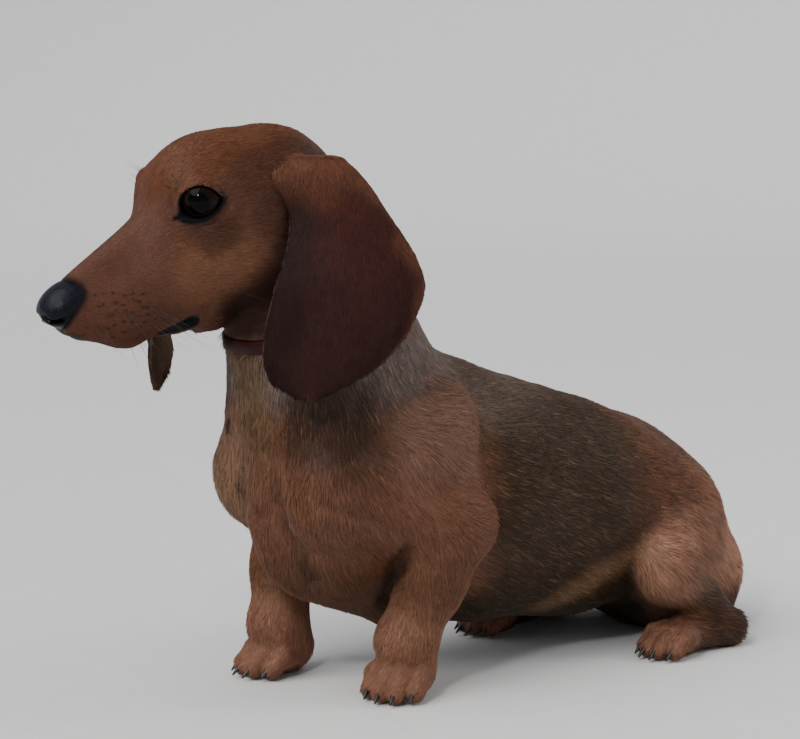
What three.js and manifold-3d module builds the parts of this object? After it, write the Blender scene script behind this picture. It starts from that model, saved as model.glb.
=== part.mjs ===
// A young smooth-coated dachshund that sits upright with its head level, wearing a plain flat collar.
// Millimetres, +Z up. The dog looks along -X and its left side faces -Y. The origin is on the floor,
// under the middle of the whole model.
import * as THREE from "three";
import Module from "manifold-3d";

const wasm = await Module();
wasm.setup();

// Driving dimensions
const HEAD_LENGTH = 187;
const EAR_LENGTH = 117;
const EYE_RADIUS = 11.6;
const COLLAR_WIDTH = 9;
const GAP = 0.3;

// Shapes are worked out in the dog's own frame: forward, left and up, from a point on the floor between
// the forepaws.
const P = (forward, left, up) => [forward, left, up];
const FORWARD = P(1, 0, 0);
const LEFT = P(0, 1, 0);
const UP = P(0, 0, 1);
const radians = THREE.MathUtils.degToRad;
const add = (a, b, s = 1) => [a[0] + b[0] * s, a[1] + b[1] * s, a[2] + b[2] * s];
const mix = (a, b, t) => a.map((v, i) => v + (b[i] - v) * t);
const dot = (a, b) => a[0] * b[0] + a[1] * b[1] + a[2] * b[2];
const cross = (a, b) => [a[1] * b[2] - a[2] * b[1], a[2] * b[0] - a[0] * b[2], a[0] * b[1] - a[1] * b[0]];
const unit = (a) => a.map((v) => v / Math.hypot(...a));
const mirror = (a, side) => P(a[0], a[1] * side, a[2]);

// Forms: each is a function of a point that gives its distance from the surface, negative inside.

// A round-ended cone from a to b. Along the direction across it is only `squash` times as thick.
function cone(a, b, ra, rb, squash = 1, across = LEFT) {
  const stretch = 1 / squash - 1;
  const [x, y, z] = across;
  const wide = (q) => add(q, across, dot(q, across) * stretch);
  const [lx, ly, lz] = wide(add(b, a, -1));
  const long = lx * lx + ly * ly + lz * lz || 1;
  const least = Math.min(1, squash);
  return (p) => {
    let dx = p[0] - a[0];
    let dy = p[1] - a[1];
    let dz = p[2] - a[2];
    const more = (dx * x + dy * y + dz * z) * stretch;
    dx += x * more;
    dy += y * more;
    dz += z * more;
    const t = Math.min(1, Math.max(0, (dx * lx + dy * ly + dz * lz) / long));
    dx -= lx * t;
    dy -= ly * t;
    dz -= lz * t;
    return (Math.sqrt(dx * dx + dy * dy + dz * dz) - ra - (rb - ra) * t) * least;
  };
}

// An ellipsoid with its radii along the axes given.
function egg(centre, radii, axes = [FORWARD, LEFT, UP]) {
  const least = Math.min(...radii);
  return (p) => {
    const dx = p[0] - centre[0];
    const dy = p[1] - centre[1];
    const dz = p[2] - centre[2];
    let near = 0;
    let steep = 0;
    for (let i = 0; i < 3; i++) {
      const q = (dx * axes[i][0] + dy * axes[i][1] + dz * axes[i][2]) / radii[i];
      near += q * q;
      steep += (q * q) / (radii[i] * radii[i]);
    }
    near = Math.sqrt(near);
    return steep > 0 ? (near * (near - 1)) / Math.sqrt(steep) : -least;
  };
}

// Joins forms with a fillet of about `soft`.
const blend = (a, b, soft) => {
  const near = Math.max(soft - Math.abs(a - b), 0);
  return Math.min(a, b) - (near * near) / (4 * soft);
};
function melt(soft, ...forms) {
  return (p) => {
    let sum = forms[0](p);
    for (let i = 1; i < forms.length; i++) sum = blend(sum, forms[i](p), soft);
    return sum;
  };
}
// Takes `tool` out of `form`, and rounds the edge by `soft`.
const carve = (soft, form, tool) => (p) => -blend(-form(p), tool(p), soft);
const both = (form) => (p) => form([p[0], Math.abs(p[1]), p[2]]);

// Trunk: deep chest with a keel, long loin and rounded rump
const chestMid = P(-26, 0, 104);
const ribsMid = P(-92, 0, 96);
const waist = P(-160, 0, 85);
const loinEnd = P(-192, 0, 94);
const croup = P(-213, 0, 78);
const rumpEnd = P(-236, 0, 44);
const trunk = melt(
  22,
  cone(chestMid, ribsMid, 60, 67, 0.84),
  cone(ribsMid, waist, 67, 64, 0.86),
  cone(waist, loinEnd, 61, 45, 0.96),
  cone(croup, rumpEnd, 50, 45, 1.1),
  egg(P(6, 0, 106), P(42, 42, 50)),
  cone(P(38, 0, 138), P(20, 0, 84), 14, 14, 0.7),
  cone(P(16, 0, 76), P(-40, 0, 48), 13, 20, 0.75),
  both(cone(P(-70, 10, 150), P(-30, 34, 132), 24, 26)),
);

// Neck: thick, widening into the shoulders
const neckBase = P(-18, 0, 146);
const neckMid = P(6, 0, 192);
const neckTop = P(28, -5, 232);
const neck = melt(
  18,
  cone(neckBase, neckMid, 60, 47, 0.84),
  cone(neckMid, neckTop, 47, 40, 0.88),
  both(cone(P(25, 36, 124), P(26, 8, 192), 25, 26)),
);

// Head: a frame of its own, along the muzzle, left and up, from the point midway between the eyes
const EYES_AT = P(94, -12, 269);
const HEAD_TURN = new THREE.Matrix4()
  .makeRotationZ(radians(-7))
  .multiply(new THREE.Matrix4().makeRotationY(radians(24)))
  .multiply(new THREE.Matrix4().makeRotationX(radians(-5)));
const [HEAD_FORWARD, HEAD_LEFT, HEAD_UP] = [0, 1, 2].map((i) =>
  new THREE.Vector3().setFromMatrixColumn(HEAD_TURN, i).toArray(),
);
const inHead = (form) => (p) => {
  const d = add(p, EYES_AT, -1);
  return form([dot(d, HEAD_FORWARD), dot(d, HEAD_LEFT), dot(d, HEAD_UP)]);
};
const headWay = (a) => add(add(add(P(0, 0, 0), HEAD_FORWARD, a[0]), HEAD_LEFT, a[1]), HEAD_UP, a[2]);
const headPoint = (a) => add(EYES_AT, headWay(a));

const upperForm = melt(
  12,
  egg(P(-40, 0, -10), P(47, 35, 31)),
  egg(P(-19, 0, 5), P(30, 27, 23)),
  egg(P(-78, 0, -20), P(14, 16, 13)),
  both(egg(P(-9, 20, 1), P(20, 14, 14))),
  both(egg(P(3, 18, -14), P(20, 11, 13))),
  both(egg(P(-30, 30, -20), P(32, 12, 18))),
  both(egg(P(-42, 26, -42), P(26, 14, 24))),
  both(cone(P(-20, 18, -36), P(22, 10, -34), 23, 21)),
  cone(P(2, 0, -12), P(74, 0, -22), 18, 10.5),
  both(cone(P(16, 12, -36), P(50, 8, -39), 18.5, 16, 0.8)),
  both(cone(P(50, 8, -39), P(71, 6, -33), 16, 11, 0.85)),
  cone(P(-34, 0, -50), P(6, 0, -52), 28, 19),
);
// The lower jaw lies in a hollow between the lips
const mouthRoom = melt(
  6,
  cone(P(18, 0, -57), P(46, 0, -51), 11.5, 8.5, 1.25),
  cone(P(46, 0, -51), P(64, 0, -45), 8.5, 7, 1.25),
);
const skullForm = carve(3, upperForm, mouthRoom);
const jawForm = melt(
  8,
  cone(P(-4, 0, -57.5), P(46, 0, -49.5), 11, 6.8, 1.35),
  cone(P(46, 0, -49.5), P(63, 0, -43), 6.8, 5.5, 1.3),
  both(cone(P(-40, 22, -54), P(6, 15, -56), 12, 8)),
  both(cone(P(6, 15, -56), P(36, 11, -53), 8, 5.5)),
);

// The eyes look out to the side and a little up
const EYE_WAY = unit(P(Math.cos(radians(52)), Math.sin(radians(52)), 0.06));
const eyeCentre = P(-6.2, 27.2, 2.8);
const LID_RADIUS = 13.2;
const lidForm = both(carve(1, egg(eyeCentre, P(LID_RADIUS, LID_RADIUS, LID_RADIUS)), eyeOpening()));
// The opening between the lids is an almond: where two slanted cylinders overlap.
function eyeOpening() {
  const [radius, spread] = [10.1, 2.9];
  const along = unit(cross(UP, EYE_WAY));
  const tilted = unit(add(along, UP, 0.12));
  const over = unit(cross(EYE_WAY, tilted));
  return (p) => {
    const d = add(p, eyeCentre, -1);
    const u = dot(d, tilted);
    const v = dot(d, over);
    const w = dot(d, EYE_WAY);
    return Math.max(Math.hypot(u, v + spread) - radius, Math.hypot(u, v - spread) - radius, -w);
  };
}

const NOSE_AT = P(HEAD_LENGTH * 0.386, 0, -22.5);
const leather = melt(
  4,
  egg(NOSE_AT, P(17, 13, 11)),
  egg(add(NOSE_AT, P(4, 0, -9)), P(7.5, 6, 8.5)),
  both(egg(add(NOSE_AT, P(7, 6, -2)), P(9, 6.5, 7))),
);
const nostril = both(
  melt(
    1,
    cone(add(NOSE_AT, P(17, 4.5, -2)), add(NOSE_AT, P(6, 8, -2)), 3, 2.4),
    cone(add(NOSE_AT, P(14, 8, -3)), add(NOSE_AT, P(6, 14, -5)), 1.7, 1.3),
  ),
);
const noseForm = carve(1, leather, nostril);
const headForm = inHead(melt(5, skullForm, jawForm));

// Legs
const side = { left: 1, right: -1 };
const elbow = { left: P(-40, 54, 88), right: P(-2, -48, 84) };
const wrist = { left: P(-16, 46, 30), right: P(14.5, -36, 28) };
const forepaw = { left: P(-17, 44, 12), right: P(10.5, -36, 12) };
function foreleg(s) {
  const [e, w] = [elbow[s], wrist[s]];
  const heel = add(forepaw[s], P(-3, 0, 3));
  return melt(
    10,
    cone(e, mix(e, w, 0.45), 20, 18.5, 0.92),
    cone(mix(e, w, 0.4), w, 18, 15.5),
    cone(w, heel, 16, 15),
  );
}
function upperArm(s) {
  const point = mirror(P(24, 35, 112), side[s]);
  const blade = mirror(P(-44, 33, 146), side[s]);
  const tip = add(elbow[s], P(-18, 4 * side[s], 4));
  const behind = [mirror(P(-40, 37, 140), side[s]), add(elbow[s], P(-8, -11 * side[s], 18))];
  return melt(
    12,
    cone(blade, point, 24, 23),
    cone(point, elbow[s], 24, 19),
    cone(...behind, 18, 17),
    egg(tip, P(9, 8, 12)),
  );
}
const legs = { left: foreleg("left"), right: foreleg("right") };
const arms = { left: upperArm("left"), right: upperArm("right") };

const hip = { left: P(-220, 32, 68), right: P(-216, -32, 68) };
const stifle = { left: P(-198, 60, 50), right: P(-166, -56, 50) };
const hock = { left: P(-235.5, 66, 12), right: P(-206, -60, 12) };
const hindpaw = { left: P(-200, 68, 11), right: P(-150, -40, 11) };
function thigh(s) {
  const seat = mirror(P(-238, 36, 38), side[s]);
  return melt(12, cone(hip[s], stifle[s], 40, 20, 0.8), cone(seat, stifle[s], 37, 18, 0.8));
}
function shank(s) {
  return melt(8, cone(stifle[s], hock[s], 15, 12.5), cone(hock[s], hindpaw[s], 12.5, 10.5, 1.1));
}
const thighs = { left: thigh("left"), right: thigh("right") };
const shanks = { left: shank("left"), right: shank("right") };

// A foot: four arched toes side by side in front of a pad. Heading is in degrees to the left of forward.
function toes(at, heading, size) {
  const turn = radians(heading);
  const along = P(Math.cos(turn), Math.sin(turn), 0);
  const across = P(-Math.sin(turn), Math.cos(turn), 0);
  const toe = (k) => {
    const reach = (Math.abs(k) < 1 ? 25 : 19) * size;
    const spot = (far, wide, up) => add(add(P(at[0], at[1], up), along, far), across, wide * k * size);
    const root = spot(4, 6.5, 13 * size);
    const knuckle = spot(reach - 9 * size, 8.6, 12.5 * size);
    const tip = spot(reach, 8.8, 6.2 * size);
    const upper = cone(root, knuckle, 8 * size, 6.6 * size);
    return { tip, form: melt(3, upper, cone(knuckle, tip, 6.6 * size, 5.6 * size)) };
  };
  const made = [-1.5, -0.5, 0.5, 1.5].map(toe);
  const middle = add(P(at[0], at[1], 7 * size), along, 4);
  const pad = egg(middle, P(12 * size, 13 * size, 8 * size), [along, across, UP]);
  return { form: melt(2.5, ...made.map((t) => t.form), pad), tips: made.map((t) => t.tip), along };
}
const feet = {
  left_forepaw: toes(forepaw.left, 32, 1),
  right_forepaw: toes(forepaw.right, 6, 1),
  left_hindpaw: toes(hindpaw.left, 4, 0.92),
  right_hindpaw: toes(hindpaw.right, 2, 0.92),
};

// Tail: lies on the floor and curves round the right side of the rump
const tailPoints = [P(-262, -4, 34), P(-292, -14, 15), P(-304, -46, 9), P(-290, -84, 7.5), P(-262, -108, 5)];
const tailRadii = [16, 12, 9, 7, 5.5];
const tailBones = tailPoints.slice(1).map((p, i) => cone(tailPoints[i], p, tailRadii[i], tailRadii[i + 1]));
const tail = melt(6, ...tailBones);

const frontLegs = melt(9, legs.left, legs.right);
const bust = melt(9, melt(16, trunk, neck), arms.left, arms.right);
const body = melt(9, bust, headForm);
const hindquarters = melt(12, body, melt(6, thighs.left, shanks.left), melt(6, thighs.right, shanks.right));
const pawForms = melt(4, ...Object.values(feet).map((f) => f.form));
const whole = melt(5, melt(8, melt(9, hindquarters, frontLegs), tail), pawForms);

// A closed mesh of a form's surface inside a box, by surface nets: one point for each sheet of surface in
// each cell of a grid, moved onto the surface, and a four-sided face round each crossed grid edge. Where two
// sheets would share an edge, the grid is shifted a little and the mesh made again.
const SHIFTS = [0, 0.37, 0.71, 0.19, 0.53, 0.87, 0.11, 0.63, 0.29, 0.79];
function surface(form, low, high, cell) {
  let net;
  for (const shift of SHIFTS) {
    net = netOf(form, low, high, cell, shift);
    if (!sharesEdge(net.triangles)) break;
  }
  return solid(net.points, net.triangles);
}
function sharesEdge(triangles) {
  const seen = new Set();
  for (let i = 0; i < triangles.length; i += 3)
    for (let k = 0; k < 3; k++) {
      const edge = triangles[i + k] * 1e6 + triangles[i + ((k + 1) % 3)];
      if (seen.has(edge)) return true;
      seen.add(edge);
    }
  return false;
}
const BLOCK = 4;
const CORNERS = [0, 1, 2, 3, 4, 5, 6, 7].map((c) => [c & 1, (c >> 1) & 1, (c >> 2) & 1]);
// The twelve edges of a cell, each from a corner along an axis, and its six faces as lists of edges
const EDGES = CORNERS.flatMap((c) => [0, 1, 2].filter((axis) => c[axis] === 0).map((axis) => ({ c, axis })));
const edgesOn = (axis, level) =>
  EDGES.map((e, i) => i).filter((i) => EDGES[i].axis !== axis && EDGES[i].c[axis] === level);
const FACES = [0, 1, 2].flatMap((axis) => [0, 1].map((level) => edgesOn(axis, level)));
function netOf(form, low, high, cell, shift) {
  const n = low.map((v, i) => BLOCK * Math.ceil(((high[i] - v) / cell + 4) / BLOCK));
  const at = (i, j, k) => [i, j, k].map((v, axis) => low[axis] + (v - 1 - shift) * cell);
  const bounded = (p) => {
    let d = form(p);
    for (let i = 0; i < 3; i++) d = Math.max(d, low[i] - p[i], p[i] - high[i]);
    return d;
  };
  const index = (i, j, k) => (i * (n[1] + 1) + j) * (n[2] + 1) + k;
  const values = new Float64Array((n[0] + 1) * (n[1] + 1) * (n[2] + 1)).fill(NaN);
  const cells = [];
  for (let bi = 0; bi < n[0]; bi += BLOCK)
    for (let bj = 0; bj < n[1]; bj += BLOCK)
      for (let bk = 0; bk < n[2]; bk += BLOCK) {
        if (Math.abs(bounded(at(bi + 2, bj + 2, bk + 2))) > cell * BLOCK * 1.3) continue;
        for (let i = bi; i <= bi + BLOCK; i++)
          for (let j = bj; j <= bj + BLOCK; j++)
            for (let k = bk; k <= bk + BLOCK; k++) {
              const m = index(i, j, k);
              if (Number.isNaN(values[m])) values[m] = bounded(at(i, j, k));
              if (i < bi + BLOCK && j < bj + BLOCK && k < bk + BLOCK) cells.push([i, j, k]);
            }
      }
  const points = [];
  const pointOf = new Map();
  for (const [i, j, k] of cells) {
    const value = (c) => values[index(i + c[0], j + c[1], k + c[2])];
    const spots = EDGES.map(({ c, axis }) => {
      const end = c.map((v, a) => (a === axis ? 1 : v));
      const [a, b] = [value(c), value(end)];
      return a < 0 === b < 0 ? null : mix(c, end, a / (a - b));
    });
    for (const sheet of sheetsOf(spots, value)) {
      const sum = sheet.reduce((total, e) => add(total, spots[e]), P(0, 0, 0));
      const start = add(at(i, j, k), sum, cell / sheet.length);
      for (const e of sheet) pointOf.set(index(i, j, k) * 12 + e, points.length);
      points.push(settle(bounded, start, cell * 0.6));
    }
  }
  const triangles = [];
  const span = (a, b) => Math.hypot(...add(points[a], points[b], -1));
  for (const [i, j, k] of cells)
    for (const [axis, u, v] of [[0, 1, 2], [1, 2, 0], [2, 0, 1]]) {
      const far = [i, j, k];
      far[axis] += 1;
      const here = values[index(i, j, k)] < 0;
      if (here === values[index(...far)] < 0) continue;
      const around = (du, dv) => {
        const c = [i, j, k];
        c[u] -= du;
        c[v] -= dv;
        const edge = EDGES.findIndex((e) => e.axis === axis && e.c[u] === du && e.c[v] === dv);
        return pointOf.get(index(...c) * 12 + edge);
      };
      const [a, b, c, d] = [around(1, 1), around(0, 1), around(0, 0), around(1, 0)];
      const faces = span(a, c) < span(b, d) ? [[a, b, c], [a, c, d]] : [[a, b, d], [b, c, d]];
      for (const face of faces) triangles.push(...(here ? face : face.reverse()));
    }
  return { points, triangles };
}
// Groups a cell's crossed edges into sheets. On a face with four of them, the two at each inner corner join.
function sheetsOf(spots, value) {
  const sheet = spots.map((spot, i) => i);
  const join = (a, b) => {
    const [from, to] = [sheet[a], sheet[b]];
    sheet.forEach((s, i) => {
      if (s === from) sheet[i] = to;
    });
  };
  for (const face of FACES) {
    const crossed = face.filter((e) => spots[e]);
    if (crossed.length === 2) join(crossed[0], crossed[1]);
    if (crossed.length !== 4) continue;
    for (const c of CORNERS) {
      const touching = crossed.filter((e) => EDGES[e].c.every((v, a) => a === EDGES[e].axis || v === c[a]));
      if (touching.length === 2 && value(c) < 0) join(touching[0], touching[1]);
    }
  }
  const crossed = EDGES.map((e, i) => i).filter((e) => spots[e]);
  return [...new Set(crossed.map((e) => sheet[e]))].map((s) => crossed.filter((e) => sheet[e] === s));
}
// Moves a point onto a form's surface, unless it would go too far.
function settle(form, start, most) {
  let p = start;
  for (let step = 0; step < 4; step++) {
    const d = form(p);
    const g = slope(form, p, d);
    const steep = dot(g, g);
    if (steep > 0.04) p = add(p, g, -d / steep);
  }
  return Math.hypot(...add(p, start, -1)) > most ? start : p;
}
function slope(form, p, d) {
  const h = 0.02;
  return [FORWARD, LEFT, UP].map((axis) => (form(add(p, axis, h)) - d) / h);
}

// Solids
function solid(points, triangles) {
  const vertProperties = new Float32Array(points.flat());
  const triVerts = new Uint32Array(triangles);
  return new wasm.Manifold(new wasm.Mesh({ numProp: 3, vertProperties, triVerts }));
}
const largest = (made) => made.decompose().sort((a, b) => b.volume() - a.volume())[0];

// A three.js shape as a solid, with its own X, Y and Z turned to the directions given and moved to `at`.
function shape(geometry, at, axes = [FORWARD, LEFT, UP]) {
  const position = geometry.getAttribute("position");
  const points = [];
  const seen = new Map();
  const merged = [];
  for (let i = 0; i < position.count; i++) {
    const local = [position.getX(i), position.getY(i), position.getZ(i)];
    const key = local.map((v) => Math.round(v * 1e4)).join();
    if (!seen.has(key)) {
      seen.set(key, points.length);
      points.push(local.reduce((sum, v, k) => add(sum, axes[k], v), at));
    }
    merged.push(seen.get(key));
  }
  const order = geometry.index ? Array.from(geometry.index.array) : merged.map((v, i) => i);
  const triangles = [];
  for (let i = 0; i < order.length; i += 3) {
    const [a, b, c] = [merged[order[i]], merged[order[i + 1]], merged[order[i + 2]]];
    if (a !== b && b !== c && c !== a) triangles.push(a, b, c);
  }
  return solid(points, triangles);
}
// Half of space, as a large box on the side of a plane that the normal points away from.
function behind(point, normal) {
  const up = unit(normal);
  const across = unit(cross(Math.abs(up[2]) > 0.9 ? FORWARD : UP, up));
  return shape(new THREE.BoxGeometry(1200, 1200, 600), add(point, up, -300), [across, cross(up, across), up]);
}
// The same solid with each vertex moved out along its normal.
function swell(made, by) {
  const mesh = made.getMesh();
  const geometry = new THREE.BufferGeometry();
  geometry.setAttribute("position", new THREE.BufferAttribute(Float32Array.from(mesh.vertProperties), 3));
  geometry.setIndex(new THREE.BufferAttribute(Uint32Array.from(mesh.triVerts), 1));
  geometry.computeVertexNormals();
  const normal = geometry.getAttribute("normal");
  const points = [];
  for (let i = 0; i < mesh.numVert; i++) {
    const at = [0, 1, 2].map((k) => mesh.vertProperties[i * mesh.numProp + k]);
    points.push(add(at, [normal.getX(i), normal.getY(i), normal.getZ(i)], by));
  }
  return solid(points, Array.from(mesh.triVerts));
}
const box = (low, high) => {
  const size = high.map((v, i) => v - low[i]);
  return shape(new THREE.BoxGeometry(...size), mix(low, high, 0.5));
};
const aboveFloor = behind(P(0, 0, 0), P(0, 0, -1));

// A cut across the body: two half-spaces with the gap between them.
const cut = (point, normal) => ({
  under: behind(add(point, unit(normal), -GAP / 2), normal),
  over: behind(add(point, unit(normal), GAP / 2), normal.map((v) => -v)),
});

const group = new THREE.Group();
function place(name, made, colour, roughness = 0.7) {
  const mesh = largest(weld(largest(made))).getMesh();
  const positions = [];
  for (let i = 0; i < mesh.numVert; i++) {
    const [forward, left, up] = [0, 1, 2].map((k) => mesh.vertProperties[i * mesh.numProp + k]);
    positions.push(-forward, -left, up);
  }
  const geometry = new THREE.BufferGeometry();
  geometry.setAttribute("position", new THREE.Float32BufferAttribute(positions, 3));
  geometry.setIndex(new THREE.BufferAttribute(new Uint32Array(mesh.triVerts), 1));
  geometry.computeVertexNormals();
  const object = new THREE.Mesh(geometry, new THREE.MeshStandardMaterial({ color: colour, roughness }));
  object.name = name;
  group.add(object);
}
// The same solid with points that all but touch made one.
function weld(made) {
  const mesh = made.getMesh();
  const seen = new Map();
  const points = [];
  const id = [];
  for (let i = 0; i < mesh.numVert; i++) {
    const at = [0, 1, 2].map((k) => mesh.vertProperties[i * mesh.numProp + k]);
    const key = at.map((v) => Math.round(v * 200)).join();
    if (!seen.has(key)) {
      seen.set(key, points.length);
      points.push(at);
    }
    id.push(seen.get(key));
  }
  const triangles = [];
  for (let i = 0; i < mesh.triVerts.length; i += 3) {
    const face = [0, 1, 2].map((k) => id[mesh.triVerts[i + k]]);
    if (new Set(face).size === 3) triangles.push(...face);
  }
  return solid(points, triangles);
}

const RED_COAT = 0x8f5230;
const SABLE_COAT = 0x6b4a30;
const EAR_COAT = 0x5a3022;
const BLACK_LEATHER = 0x16171c;
const EYE_GLOSS = 0x0b0908;
const PURPLE_STRAP = 0x4a2136;

// Planes that part the head, neck, chest and loin
const throatCut = cut(P(50, 0, 193), P(0.3, 0, 0.95));
const shoulderCut = cut(P(46, 0, 150), P(0.2, 0, 0.98));
const loinCut = cut(P(-128, 0, 90), P(-1, 0, 0));
const room = (centre, reach) => [-1, 1].map((way) => add(centre, P(reach, reach, reach), way));

// How large the cells of each piece's net are
const CELLS = {
  nose: 3.5,
  lid: 3.2,
  muzzle: 5.7,
  skull: 9.5,
  jaw: 5.6,
  torso: 15,
  tail: 6.8,
  tailSpace: 9,
  foreleg: 7.3,
  foreSpace: 11,
  hindleg: 9.8,
  hindSpace: 13,
  hindpaw: 6.5,
};

// Nose
const nose = surface(inHead(noseForm), ...room(headPoint(NOSE_AT), 24), CELLS.nose);

// Head, with its lids, its mouth and sockets for the eyes
const EYES = [1, -1].map((s) => headPoint(mirror(eyeCentre, s)));
const lids = EYES.map((at) => surface(inHead(lidForm), ...room(at, 16), CELLS.lid));
const sockets = EYES.map((at) => shape(new THREE.IcosahedronGeometry(EYE_RADIUS + GAP, 3), at));
const skullAndNeck = melt(9, inHead(skullForm), bust);
const muzzleStart = headPoint(P(15, 0, -30));
const rearHalf = behind(add(muzzleStart, HEAD_FORWARD, 0.2), HEAD_FORWARD);
const frontHalf = behind(muzzleStart, HEAD_FORWARD.map((v) => -v));
const muzzleRoom = room(headPoint(P(48, 0, -32)), 58);
const muzzle = surface(skullAndNeck, ...muzzleRoom, CELLS.muzzle).intersect(frontHalf);
let head = surface(skullAndNeck, P(-40, -70, 170), P(150, 60, 320), CELLS.skull).intersect(rearHalf);
head = head.intersect(throatCut.over).add(muzzle.intersect(throatCut.over));
for (const lid of lids) head = head.add(lid);
for (const socket of sockets) head = head.subtract(socket);
const noseRoom = surface(inHead((p) => leather(p) - 2 * GAP), ...room(headPoint(NOSE_AT), 25), CELLS.nose);
head = head.subtract(noseRoom);

// Lower jaw, with the line of the mouth round it
const MOUTH_CORNER = 15;
const jawBack = behind(headPoint(P(MOUTH_CORNER, 0, -60)), HEAD_FORWARD.map((v) => -v));
const jaw = surface(inHead(jawForm), P(40, -60, 150), P(190, 50, 260), CELLS.jaw).intersect(jawBack);

place("jaw", jaw, RED_COAT);
head = head.subtract(swell(jaw, GAP * 1.3));
place("head", head, RED_COAT);
place("nose", nose, BLACK_LEATHER, 0.35);
EYES.forEach((at, i) => {
  const ball = shape(new THREE.IcosahedronGeometry(EYE_RADIUS, 3), at);
  place(["eye_left", "eye_right"][i], ball, EYE_GLOSS, 0.1);
});

// Ears: thin leaves that hang from folds beside the crown. Each row gives how far down it is, then how far
// forward and out its middle lies from the root, its half width, and how far it turns to face ahead.
const earRows = [
  [-0.03, -1, -5, 17, 0],
  [0.05, -2, 4, 23, 0],
  [0.2, -8, 14, 24.5, 10],
  [0.42, -9, 26, 33.5, 17],
  [0.55, -6, 30, 38, 18],
  [0.72, 3, 31, 35.5, 20],
  [0.87, 12, 29, 28, 18],
  [0.965, 18, 27, 18, 18],
  [1, 22, 26, 6, 18],
];
const NEAR_EAR = { swing: 0, spread: 0, slack: 1, length: EAR_LENGTH };
const FAR_EAR = { swing: 43, spread: 38, slack: 0.2, length: EAR_LENGTH * 1.1 };
function ear(s, { swing, spread, slack, length }) {
  const root = headPoint(mirror(P(-68, 34, -8), s));
  const ahead = unit(P(HEAD_FORWARD[0], HEAD_FORWARD[1], 0));
  const out = cross(UP, ahead).map((v) => v * s);
  const rows = earRows.map((row) => new THREE.Vector3(row[0], row[1], row[2]));
  const middle = new THREE.CatmullRomCurve3(rows, false, "centripetal");
  const shapes = earRows.map((row) => new THREE.Vector3(row[0], row[3], row[4]));
  const widths = new THREE.CatmullRomCurve3(shapes, false, "centripetal");
  const [across, down] = [8, 14];
  const point = (i, j, lift) => {
    const v = j / down;
    const u = -Math.cos((Math.PI * i) / across);
    const m = middle.getPoint(v);
    const w = widths.getPoint(v);
    const turn = radians(w.z + spread * Math.min(1, m.x * 2));
    const cup = 5 * (1 - u * u) - 4 * Math.max(0, u) ** 2 * (1 - m.x);
    const forward = m.y * slack + swing * Math.min(1, m.x * 1.3);
    let p = add(root, ahead, forward + u * w.y * Math.cos(turn));
    p = add(p, out, m.z - u * w.y * Math.sin(turn) + cup + lift);
    return add(p, UP, -m.x * length * (1 - 0.03 * u * u));
  };
  const points = [];
  const id = new Map();
  const vertex = (i, j, face) => {
    const rim = i === 0 || i === across || j === 0 || j === down;
    const key = rim ? `${i},${j}` : `${i},${j},${face}`;
    if (!id.has(key)) {
      id.set(key, points.length);
      const near = Math.min(i, across - i, j, down - j);
      points.push(point(i, j, rim ? 0 : face * (near === 1 ? 1.2 : 1.7)));
    }
    return id.get(key);
  };
  const triangles = [];
  for (const face of [1, -1])
    for (let i = 0; i < across; i++)
      for (let j = 0; j < down; j++) {
        const corners = [[i, j], [i + 1, j], [i + 1, j + 1], [i, j + 1]];
        const quad = corners.map(([across, down]) => vertex(across, down, face));
        const [a, b, c, d] = face * s > 0 ? quad : quad.reverse();
        triangles.push(a, b, c, a, c, d);
      }
  return solid(points, triangles);
}
const ears = { left: ear(1, NEAR_EAR), right: ear(-1, FAR_EAR) };
const headRoom = swell(largest(head), GAP);
place("ear_left", ears.left.subtract(headRoom), EAR_COAT);
place("ear_right", ears.right.subtract(headRoom), EAR_COAT);

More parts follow.
